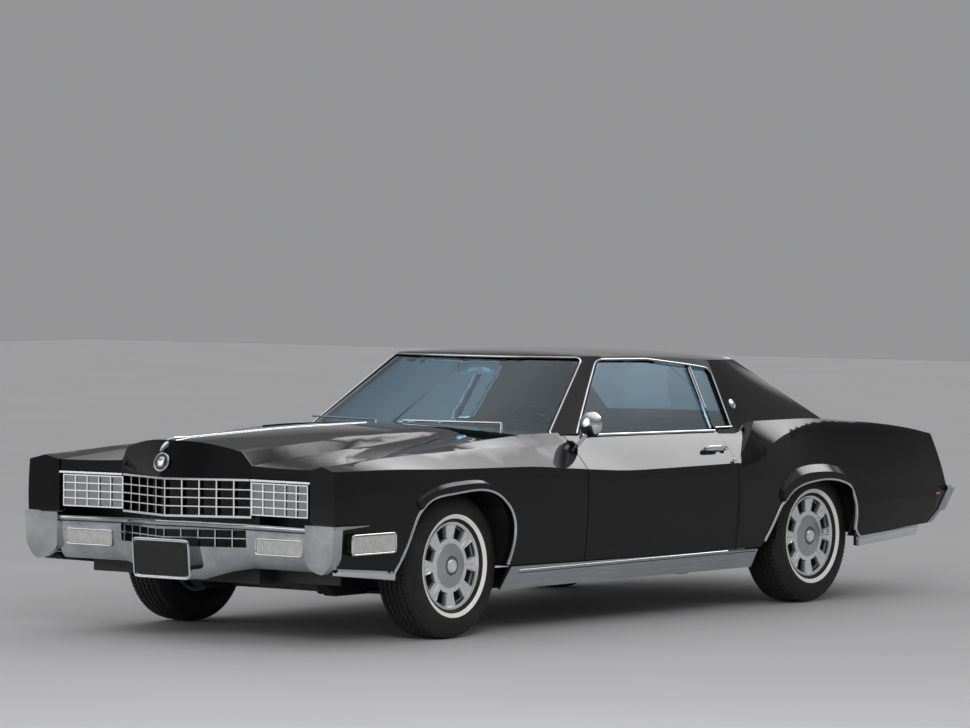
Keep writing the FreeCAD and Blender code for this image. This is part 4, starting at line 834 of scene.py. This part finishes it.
def makeArchTrim():
    # half-round lip round each wheel opening, its line found by rays thrown out from the wheel's middle,
    # and a strip along the foot of the body in front of and behind the wheels
    edge, shells = facesOf("body_mouldings"), []
    for y, z, panelName in arch["openings"]:
        t = np.linspace(math.radians(181), math.radians(-1), 74)
        out = np.stack([0 * t, np.cos(t), np.sin(t)], -1)
        hits = [edge.ray_cast(Vector((arch["from"], y, z)), Vector(ray))[0] for ray in out.tolist()]
        out = out[np.array([hit is not None for hit in hits])]
        line = softened(np.array([tuple(hit) for hit in hits if hit is not None]), 3)
        panel, inward = facesOf(panelName), Vector((-1, 0, 0))
        beside = (line + arch["panelOut"] * out)[:, 1:].tolist()
        side = [panel.ray_cast(Vector((farOut, *spot)), inward)[0] for spot in beside]
        x = np.array([np.nan if hit is None else hit[0] for hit in side])
        found = np.flatnonzero(~np.isnan(x))
        x = np.interp(np.arange(len(x)), found, x[found])
        x = softened(np.minimum(x, arch["widest"] - arch["rise"]), 3)
        path = np.stack([x, *(line + arch["lipOut"] * out)[:, 1:].T], -1)
        shells.append(sweep(path, crown(arch["width"], arch["rise"], arch["sink"]), (1, 0, 0)))
    shells += [wedge(*arch["rearStrip"]), wedge(*arch["frontStrip"])]
    item = bright("archTrim", bothSides(shells), "body_shell", bevel=1.5)
    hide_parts("body_mouldings")


rocker = {
    "ends": (430, 2425), "slopeY": (250, 2440), "slopeZ": (312, 321), "up": 0.3, "Bright": (0,
    (8, 3.5, 3)), "Dark": (13, (5, 1, 3))}


def makeRockerLines():
    # a bright line under each door, which rises a little rearwards, and a dark one below it
    y = np.linspace(*rocker["ends"], 40)
    top = np.interp(y, rocker["slopeY"], rocker["slopeZ"])
    for side, sign in sides:
        panel = facesOf("rocker_" + side)
        for name, material, slot in (("Bright", chromed, "chrome"), ("Dark", darkTrim, "trim")):
            below, strip = rocker[name]
            path = castFromSide(panel, sign, y, top - below)
            line = sweep(path, crown(*strip), (sign, 0, rocker["up"]))
            piece("rocker" + name + "_" + side, [line], material, "body_shell", crisp=40)


barSize, barProud = 5.4, 0.6  # how wide every bar's face is, and how far it stands out of its solid
lampBars = {
    "inner": (409, -907), "outer": (780, -931), "low": 617, "high": 772, "rows": 4, "columns": 5,
    "rowInset": 2.5, "columnInset": 3.2, "gap": 0.4, "depth": 7}
grilleBars = {
    "prow": -1064, "side": (409, -907), "end": 408.6, "rows": (653.5, 695, 736.5), "columns": 5,
    "low": 612, "high": 778, "depth": 3, "sill": 602, "sillDepth": 5, "header": 787.5, "headerProud": 3,
    "headerDepth": 6, "wingEnd": 797, "wingY": (-915.6, -939.6)}


def makeLampBars():
    # bright bars over each lamp door in line with the bars of the grille
    (x0, y0), (x1, y1), low, high = lampBars["inner"], lampBars["outer"], lampBars["low"], lampBars["high"]
    half, gap, deep = barSize / 2, lampBars["gap"], lampBars["depth"]

    def front(x):
        return y0 + (y1 - y0) * (x - x0) / (x1 - x0) - barProud

    shells = []
    for z in np.linspace(low + lampBars["rowInset"], high - lampBars["rowInset"], lampBars["rows"] + 1):
        shells.append(slantBox(x0 + gap, x1 - gap, z - half, z + half, front(x0), front(x1), deep))
    for x in np.linspace(x0 + lampBars["columnInset"], x1 - lampBars["columnInset"], lampBars["columns"] + 1):
        shells.append(slantBox(x - half, x + half, low, high, front(x), front(x), deep))
    for side, sign in sides:
        onSide = shells if sign > 0 else [flipped(shell) for shell in shells]
        piece("lampDoorBars_" + side, onSide, barBright, "headlamp_door_" + side)


def makeGrilleBars():
    # thin bright faces on the egg-crate bars: a prow in plan, five columns a side, three bars, header, wings
    # and sill
    sideX, sideY = grilleBars["side"]
    end, low, high, header = (grilleBars[key] for key in ("end", "low", "high", "header"))
    half, deep, proud = barSize / 2, grilleBars["headerDepth"], grilleBars["headerProud"]

    def front(x):
        return grilleBars["prow"] + (sideY - grilleBars["prow"]) * x / sideX - barProud

    shells = []
    for z in grilleBars["rows"]:
        shells.append(slantBox(0, end, z - half, z + half, front(0), front(sideX), grilleBars["depth"]))
    for x in np.linspace(0, end, grilleBars["columns"] + 1):
        x0, x1 = max(x - half, 0), min(x + half, end)
        shells.append(slantBox(x0, x1, low, high, front(x0), front(x1), grilleBars["depth"]))
    shells.append(slantBox(0, end, high, header, front(0) - proud, front(sideX) - proud, deep))
    shells.append(slantBox(0, end, grilleBars["sill"], low, front(0), front(sideX), grilleBars["sillDepth"]))
    shells.append(slantBox(sideX, grilleBars["wingEnd"], high, header, *grilleBars["wingY"], deep))
    piece("grilleFaces", bothSides(shells), barBright, "body_shell")


mirror = {
    "head": (944, 1045, 1004), "radius": 63, "rim": [(0.9, -12), (0.92, -14.5), (1, -13)], "dome": 35,
    "arm": [(886, 996, 884), (905, 1010, 915), (930, 1030, 955), (938, 1038, 975)], "armRadius": 8,
    "armScale": (1.4, 0.9), "foot": (888, 1000, 886), "footHalf": (34, 15), "footUp": (-0.6, 0, 0.8),
    "footRings": [(1, -8), (1, 3), (0.8, 8), (0.4, 11), (0.05, 12)]}


def makeMirror():
    # domed head: circles shrinking towards the front by cos and rising by sin; arm: round rod on a domed foot
    radius, turns = mirror["radius"], np.linspace(0, 1.5, 12)
    rings = mirror["rim"] + [(math.cos(t), 2 + mirror["dome"] * math.sin(t)) for t in turns]
    head = button(mirror["head"], (1, 0, 0), (0, 0, 1), radius, radius, rings)
    arm = sweep(curve(mirror["arm"], 14), ring(mirror["armRadius"], 10), (0, 1, 0),
                scale=np.linspace(*mirror["armScale"], 14))
    foot = button(mirror["foot"], (0, 1, 0), mirror["footUp"], *mirror["footHalf"], mirror["footRings"])
    item = bright("roundMirror", [head, arm, foot], "door_left")
    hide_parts("door_mirror")


makeArchTrim()
makeRockerLines()
makeLampBars()
makeGrilleBars()
makeMirror()
print("stage: arch, rocker, lamp door and mirror trim made")

plate = {
    "half": 176, "front": 93, "rear": 75, "border": 10, "power": 14, "sheet": [(1, -6), (1, 2), (0.05, 2)],
    "back": [(1, -7), (1, -5), (0.05, -5)], "strip": (9, 6, 6), "frontPlace": (0, -1086, 404),
    "frontLean": -0.09, "rearHeight": 676, "rearProud": 8}


def makePlates():
    # blank sheet and its frame: superellipse plates of a high power, with a half-round strip round the edge
    dark = plainCoat("plateBlack", (0.006, 0.006, 0.007), (0.01, 0.01, 0.011), 0.18, 0.3, 30, 60, 0.01)
    rearHeight, border, power = plate["rearHeight"], plate["border"], plate["power"]
    rearPlace = (0, onTail(rearHeight)[1] + plate["rearProud"], rearHeight)
    for name, centre, across, lean in (("front", plate["frontPlace"], (1, 0, 0), plate["frontLean"]),
                                       ("rear", rearPlace, (-1, 0, 0), tailLean)):
        half, tall, upward = plate["half"], plate[name], (0, lean, 1)
        sheet = button(centre, across, upward, half - border, tall - border, plate["sheet"], power, 64)
        piece("plateBlank_" + name, [sheet], dark, "body_shell")
        back = button(centre, across, upward, half, tall, plate["back"], power, 96)
        edge = button(centre, across, upward, half, tall, [(1, 0), (1, 0)], power, 96)[0][:96]
        out = np.cross(unit(np.asarray(across, float)), unit(np.asarray(upward, float)))
        frame = sweep(edge, crown(*plate["strip"]), out, closed=True)
        bright("plateFrame_" + name, [frame, back], "body_shell", crisp=45)


bumperGrooveShade = {
    "line": [(0, -1123, 563), (165, -1045.5, 559), (300, -980.5, 553), (404, -931.5, 550),
    (786, -945.5, 547)], "half": 3, "rise": 1.2}
tailRibs = {
    "from": 622, "to": 820, "step": 24, "tall": 4, "across": (859, 883.5), "y": (4200, 4222),
    "foot": 830}
marker = {
    "y": 4185, "z": 534, "across": (0, 1, 0.1), "up": (0, -0.1, 1), "half": (17, 6), "power": 4,
    "rings": [(1, -6), (1, 2), (0.9, 4), (0.05, 5)]}


def makeBumperGroove():
    # dark line under the bumper's upper band, along the nose in plan; painted shade: a dark strip stands for
    # the shade in the groove
    path, half, rise = np.array(bumperGrooveShade["line"]), bumperGrooveShade["half"], bumperGrooveShade["rise"]
    line = np.vstack([path[::-1] * (-1, 1, 1), path[1:]])
    groove = sweep(line, [(-half, -half), (half, -half), (half, rise), (-half, rise)], (0, -1, 0))
    piece("bumperGrooveShade", [groove], darkTrim, "body_shell")


def makeTailTrim():
    # ribs across each tail lamp, in its slope, and a small marker on each rear side
    (x0, x1), (y0, y1), shells = tailRibs["across"], tailRibs["y"], []
    for z in np.arange(tailRibs["from"], tailRibs["to"], tailRibs["step"]):
        slope = (z - tailRibs["foot"]) * tailLean
        shells.append(block((x0, y0 + slope, z), (x1, y1 + slope, z + tailRibs["tall"])))
    bright("tailLampRibs", bothSides(shells), "body_shell", crisp=30)
    spot = castFromSide(facesOf("quarter_panel_left"), 1, marker["y"], marker["z"])[0]
    lens = button(spot, marker["across"], marker["up"], *marker["half"], marker["rings"], marker["power"])
    red = plainCoat("markerRed", (0.42, 0.1, 0.08), (0.55, 0.16, 0.13), 0.1, 0.18, 30, 60, 0.01,
                    Coat_Weight=1)
    piece("rearMarkers", bothSides([lens]), red, "body_shell")


makePlates()
makeBumperGroove()
makeTailTrim()
print("stage: plates and tail trim made")


# cabin

padShape = {
    "channel": 62, "channelDepth": 5, "channelSharp": 14, "plump": 0.42, "crown": 0.62, "corner": 0.3,
    "across": 0.8, "along": 0.84}


def pad(centre, size, lean=0, channels=True):
    # superellipsoid: x, y, z = size times signed powers of cos and sin of latitude and longitude, its upper
    # or front face pulled in along sewn channels by a narrow cosine power across it, then leaned back about X
    latitudes = np.linspace(-np.pi / 2, np.pi / 2, 58)
    longitudes = np.linspace(0, 2 * np.pi, 132, endpoint=False)
    v, u = np.meshgrid(latitudes, longitudes, indexing="ij")
    plump, corner, lying = padShape["plump"], padShape["corner"], size[2] < size[1]

    def power(values, exponent):
        return np.sign(values) * np.abs(values) ** exponent

    x = size[0] * power(np.cos(v), plump) * power(np.cos(u), corner)
    y = size[1] * power(np.cos(v), plump) * power(np.sin(u), corner)
    z = size[2] * power(np.sin(v), padShape["crown"])
    along, span = (y, size[1]) if lying else (z, size[2])
    inner = (np.abs(x) < padShape["across"] * size[0]) & (np.abs(along) < padShape["along"] * span)
    face = z > 0 if lying else y < 0
    narrow = np.abs(np.cos(np.pi * x / padShape["channel"])) ** padShape["channelSharp"]
    groove = narrow * padShape["channelDepth"] * (face & inner) * channels
    if lying:
        z = z - groove
    else:
        y = y + groove
    c, s = math.cos(math.radians(lean)), math.sin(math.radians(lean))
    points = np.stack([x, y * c + z * s, z * c - y * s], -1) + np.asarray(centre, float)
    return skin(points, closeColumns=True, capEnds=True)


# each pad's place, half sizes, backward lean in degrees, and the node it belongs to
seatPads = {
    "frontCushionLeft": ((335, 1775, 482), (318, 268, 78), -3, "front_seat"),
    "frontCushionRight": ((-335, 1775, 482), (318, 268, 78), -3, "front_seat"),
    "frontBackLeft": ((335, 2074, 712), (318, 62, 232), 16.5, "front_seat"),
    "frontBackRight": ((-335, 2074, 712), (318, 62, 232), 16.5, "front_seat"),
    "rearCushion": ((0, 2655, 545), (612, 240, 62), 0, "rear_seat"), "rearBack": ((0, 2905, 745),
    (612, 66, 160), 20, "rear_seat")}
seatBase = {
    "risers": (-600, -60, 20, 560), "riserWidth": 40, "riserY": (1560, 1980), "riserZ": (302.5, 412),
    "front": ((-645, 1530, 400), (645, 2035, 432)), "middle": ((-12, 1560, 430), (12, 2000, 520)),
    "rear": ((-600, 2425, 401), (600, 2880, 505)), "bevel": 6}
frontArmrest = {"place": (0, 1960, 590), "size": (52, 150, 34)}


def makeSeats():
    cover = leather("seatLeather", (0.014, 0.014, 0.015), (0.03, 0.029, 0.03))
    made = {"front_seat": [], "rear_seat": []}
    for name, (centre, size, lean, node) in seatPads.items():
        item = piece(name, [pad(centre, size, lean)], cover, "body_shell", crisp=60)
        made[node].append(item)
    (y0, y1), (z0, z1) = seatBase["riserY"], seatBase["riserZ"]
    base = [block((x, y0, z0), (x + seatBase["riserWidth"], y1, z1)) for x in seatBase["risers"]]
    base += [block(*seatBase[key]) for key in ("front", "middle", "rear")]
    frameItem = piece("seatBases", base, darkTrim, "body_shell", bevel=seatBase["bevel"])
    for item in made["front_seat"] + [frameItem]:
        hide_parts("front_seat")
    for item in made["rear_seat"] + [frameItem]:
        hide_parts("rear_seat")
    rest = pad(frontArmrest["place"], frontArmrest["size"], 0, False)
    armrest = piece("frontArmrest", [rest], cover, "body_shell", crisp=60)


doorTrim = {
    "panelX": (804, 819.5), "panelY": (972, 2150), "panelZ": (372, 922), "bevel": 5,
    "armrest": (778, 1640, 636), "armrestSize": (30, 300, 24), "stripX": 803, "stripY": (985, 1560, 2138),
    "stripZ": (470, 700, 860), "strip": (9, 3, 2), "pull": (800, 1300, 780), "pullHalf": (52, 10),
    "pullPower": 3, "pullRings": [(1, -3), (1, 12), (0.8, 16), (0.05, 17)]}
rearTrim = {"x": (640, 655), "y": (2260, 2600), "z": (420, 905)}


def makeSideTrim(cover):  # inside each door a panel, an armrest and its strips, and a panel behind the door
    for side, sign in sides:
        panel = sideBlock(sign, doorTrim["panelX"], doorTrim["panelY"], doorTrim["panelZ"])
        piece("doorTrim_" + side, [panel], cover, "door_" + side, bevel=doorTrim["bevel"])
        rest = pad(handed(doorTrim["armrest"], sign), doorTrim["armrestSize"], 0, False)
        arm = piece("doorArmrest_" + side, [rest], cover, "door_" + side, crisp=60)
        lines = [[(sign * doorTrim["stripX"], y, z) for y in doorTrim["stripY"]] for z in doorTrim["stripZ"]]
        shells = [sweep(curve(line, 12), crown(*doorTrim["strip"]), (-sign, 0, 0)) for line in lines]
        shells.append(button(handed(doorTrim["pull"], sign), (0, -sign, 0), (0, 0, 1), *doorTrim["pullHalf"],
                             doorTrim["pullRings"], doorTrim["pullPower"]))
        bright("doorTrimBright_" + side, shells, "door_" + side)
        panel = sideBlock(sign, rearTrim["x"], rearTrim["y"], rearTrim["z"])
        piece("rearSideTrim_" + side, [panel], cover, "body_shell", bevel=doorTrim["bevel"])


# faceUp runs up the dashboard's face; its two strips are three distances across, then y and z
dash = {
    "faceUp": (0, 30, 125), "dials": (250, 372, 494), "dialY": 1111, "dialZ": 838, "dialHalf": (46, 40),
    "dialRings": [(1, -8), (1, 5), (0.88, 7), (0.84, 2), (0.05, 2)], "dialPower": 3, "strip": (7, 3, 3),
    "upper": ((-770, 0, 770), 1119, 872), "lower": ((-770, 0, 210), 1098, 782)}
visors = {"x": (-330, 330), "y": 1455, "z": 1281, "size": (205, 62, 9), "lean": 4}


def makeDash():  # three superellipse bezels in a row and two half-round strips across the face
    shells = [button((x, dash["dialY"], dash["dialZ"]), (-1, 0, 0), dash["faceUp"], *dash["dialHalf"],
                     dash["dialRings"], dash["dialPower"]) for x in dash["dials"]]
    for across, y, z in (dash["upper"], dash["lower"]):
        shells.append(sweep(curve([(x, y, z) for x in across], 20), crown(*dash["strip"]), (0, 1, 0)))
    bright("dashBright", shells, "body_shell")


def makeVisors(cover):  # two thin flat pads under the windshield's head
    shells = [pad((x, visors["y"], visors["z"]), visors["size"], visors["lean"], False) for x in visors["x"]]
    visorItem = piece("sunVisors", shells, cover, "body_shell", crisp=60)


horn = {
    "columnAngle": 24, "hub": (372.0, 1395, 905), "lift": 6, "radius": 132, "wire": 3.6, "bossDrop": 4,
    "boss": (40, 34), "bossRings": [(1, -10), (1, 14), (0.9, 20), (0.5, 24), (0.05, 25)]}


def makeHornRing():  # a ring and a boss on the steering wheel's axis, which leans back by the column's angle
    angle = math.radians(horn["columnAngle"])
    axis = np.array([0, math.cos(angle), math.sin(angle)])
    upward = np.array([0, -math.sin(angle), math.cos(angle)])
    centre = np.array(horn["hub"]) + horn["lift"] * axis
    loop = circle(centre, horn["radius"], np.array([1.0, 0, 0]), upward, 72)
    boss = button(centre - horn["bossDrop"] * axis, (-1, 0, 0), upward, *horn["boss"], horn["bossRings"])
    bright("hornRing", [sweep(loop, ring(horn["wire"], 8), axis, closed=True), boss], "steering_wheel")


headliner = {
    "ends": (1500, 2660), "y": [1500, 1640, 2450, 2660], "half": [520, 560, 560, 500], "under": 1100,
    "drop": 9, "thick": 3, "seam": 3, "seamStep": 290, "seamSharp": 20}


def makeHeadliner():
    # height falls from the middle line to the sides by the square of the distance, less narrow seams across
    roof, shape = facesOf("roof_panel"), headliner
    y = np.linspace(*shape["ends"], 41)
    half = np.interp(y, shape["y"], shape["half"])
    middle, edge = (cast(roof, np.stack([x, y, 0 * y + shape["under"]], -1), (0, 0, 1))[:, 2]
                    for x in (0 * y, half))
    across, along = np.meshgrid(np.linspace(-1, 1, 41), y, indexing="ij")
    narrow = np.abs(np.cos(np.pi * (along - y[0]) / shape["seamStep"])) ** shape["seamSharp"]
    z = middle - shape["drop"] - (middle - edge) * across ** 2 - shape["seam"] * narrow
    upper = np.stack([across * half, along, z], -1)
    lower = upper - (0, 0, shape["thick"])
    border = np.concatenate([lower, upper[:, ::-1]], 1)
    cloth = plainCoat("headliner", (0.03, 0.03, 0.031), (0.045, 0.045, 0.046), 0.8, 0.95, 30, 700, 0.2)
    piece("headliner", [skin(border, closeColumns=True, capEnds=True)], cloth, "body_shell", crisp=50)


makeSeats()
trimHide = leather("trimLeather", (0.014, 0.014, 0.015), (0.026, 0.026, 0.027))
makeSideTrim(trimHide)
makeDash()
makeVisors(trimHide)
makeHornRing()
makeHeadliner()
print("stage: cabin made")


# camera and studio: metres, degrees, and millimetres for the lens

camera = {
    "place": (15.67, -20.196, 2.02), "heading": 128.18, "pitch": -1.68, "roll": 0.26, "lens": 183.2,
    "sensor": 36, "far": 200}


def placeCamera():
    data = bpy.data.cameras.new("photoCamera")
    data.sensor_width = camera["sensor"]
    data.lens = camera["lens"]
    data.clip_end = camera["far"]
    item = bpy.data.objects.new("photoCamera", data)
    scene.collection.objects.link(item)
    heading, pitch = math.radians(camera["heading"]), math.radians(camera["pitch"])
    flat = math.cos(pitch)
    look = Vector((math.cos(heading) * flat, math.sin(heading) * flat, math.sin(pitch)))
    item.location = camera["place"]
    item.rotation_mode = "QUATERNION"
    turn = look.to_track_quat("-Z", "Y")
    item.rotation_quaternion = turn @ Quaternion((0, 0, 1), math.radians(camera["roll"]))
    scene.camera = item


# sky = brightness from the horizon up to overhead; softboxes = direction, outer and inner angle, brightness
studio = {
    "floor": (0.5, 0.5, 0.51), "floorHalf": 40, "floorDark": 0.94, "floorRough": 0.75, "world": 0.6,
    "sky": [(0, 0.3), (0.1, 0.3), (0.28, 0.14), (0.55, 0.3), (0.85, 0.9), (1, 1)], "skyBlue": 1.02,
    "softboxes": [((0.15, 0.77, 0.62), 14.5, 2, 6), ((-0.24, 0.79, 0.54), 17, 3, 3),
    ((-0.6, -0.79, 0.12), 26, 4, 2)]}


def placeFloor():
    size = studio["floorHalf"]
    mesh = bpy.data.meshes.new("studioFloor")
    mesh.from_pydata([(-size, -size, 0), (size, -size, 0), (size, size, 0), (-size, size, 0)], [],
                     [(0, 1, 2, 3)])
    floor = bpy.data.objects.new("studioFloor", mesh)
    scene.collection.objects.link(floor)
    material, tree, principled = shader("paleFloor", Roughness=studio["floorRough"])
    dark = tuple(studio["floorDark"] * v for v in studio["floor"])
    toned(tree, principled, 0.6, dark, studio["floor"])
    mesh.materials.append(material)


def placeWorld():  # an even light, and a graded sky with soft lights that only the camera and reflections see
    world = bpy.data.worlds.new("studioWorld")
    scene.world = world
    world.use_nodes = True
    tree = world.node_tree
    tree.nodes.clear()
    out = put(tree, "ShaderNodeOutputWorld")
    seen, light = put(tree, "ShaderNodeBackground"), put(tree, "ShaderNodeBackground")
    facing = put(tree, "ShaderNodeNewGeometry")
    split = put(tree, "ShaderNodeSeparateXYZ")
    rise = put(tree, "ShaderNodeMapRange", From_Min=0, From_Max=-1)  # an incoming ray points down from above
    sky = ramp(tree, [(place, (tone, tone, studio["skyBlue"] * tone)) for place, tone in studio["sky"]])
    wire(tree, (facing, "Incoming", split, 0), (split, "Z", rise, "Value"), (rise, 0, sky, 0))
    last = sky
    for towards, wide, narrow, tone in studio["softboxes"]:  # round soft lights, fading from their middles
        toDirection = put(tree, "ShaderNodeVectorMath", {"operation": "DOT_PRODUCT"})
        toDirection.inputs[1].default_value = -Vector(towards).normalized()
        fade = put(tree, "ShaderNodeMapRange", {"interpolation_type": "SMOOTHSTEP"},
                   From_Min=math.cos(math.radians(wide)), From_Max=math.cos(math.radians(narrow)))
        blend = put(tree, "ShaderNodeMix", {"data_type": "RGBA"})
        blend.inputs[7].default_value = (tone, tone, tone, 1)
        wire(tree, (facing, "Incoming", toDirection, 0), (toDirection, "Value", fade, "Value"),
             (fade, 0, blend, 0), (last, "Color" if last is sky else 2, blend, 6))
        last = blend
    wire(tree, (last, 2, seen, "Color"))
    light.inputs["Color"].default_value = (1, 1, 1, 1)
    light.inputs["Strength"].default_value = studio["world"]
    path = put(tree, "ShaderNodeLightPath")
    first = put(tree, "ShaderNodeMath", {"operation": "MAXIMUM"})
    second = put(tree, "ShaderNodeMath", {"operation": "MAXIMUM"})
    mix = put(tree, "ShaderNodeMixShader")
    wire(tree, (path, "Is Camera Ray", first, 0), (path, "Is Glossy Ray", first, 1), (first, 0, second, 0),
         (path, "Is Transmission Ray", second, 1), (second, 0, mix, 0), (light, 0, mix, 1), (seen, 0, mix, 2),
         (mix, 0, out, "Surface"))


# place, aim, width, depth and watts
lamps = {
    "frontLight": ((7, -9, 5), (0, -1.5, 0.5), 4, 2.5, 420), "barLight": ((-7, -10.5, 3.2),
    (0, -1, 0.6), 3, 2, 110)}


def placeLamp(name, place, aim, width, depth, watts):  # soft area lamp, left out of reflections
    data = bpy.data.lights.new(name, "AREA")
    data.shape = "RECTANGLE"
    data.size, data.size_y, data.energy = width, depth, watts
    item = bpy.data.objects.new(name, data)
    item.location = place
    item.visible_glossy = False
    item.rotation_euler = (Vector(aim) - Vector(place)).to_track_quat("-Z", "Y").to_euler()
    scene.collection.objects.link(item)


placeCamera()
placeFloor()
placeWorld()
for name, values in lamps.items():
    placeLamp(name, *values)
scene.view_settings.view_transform = "Standard"
print("stage: camera and studio placed")
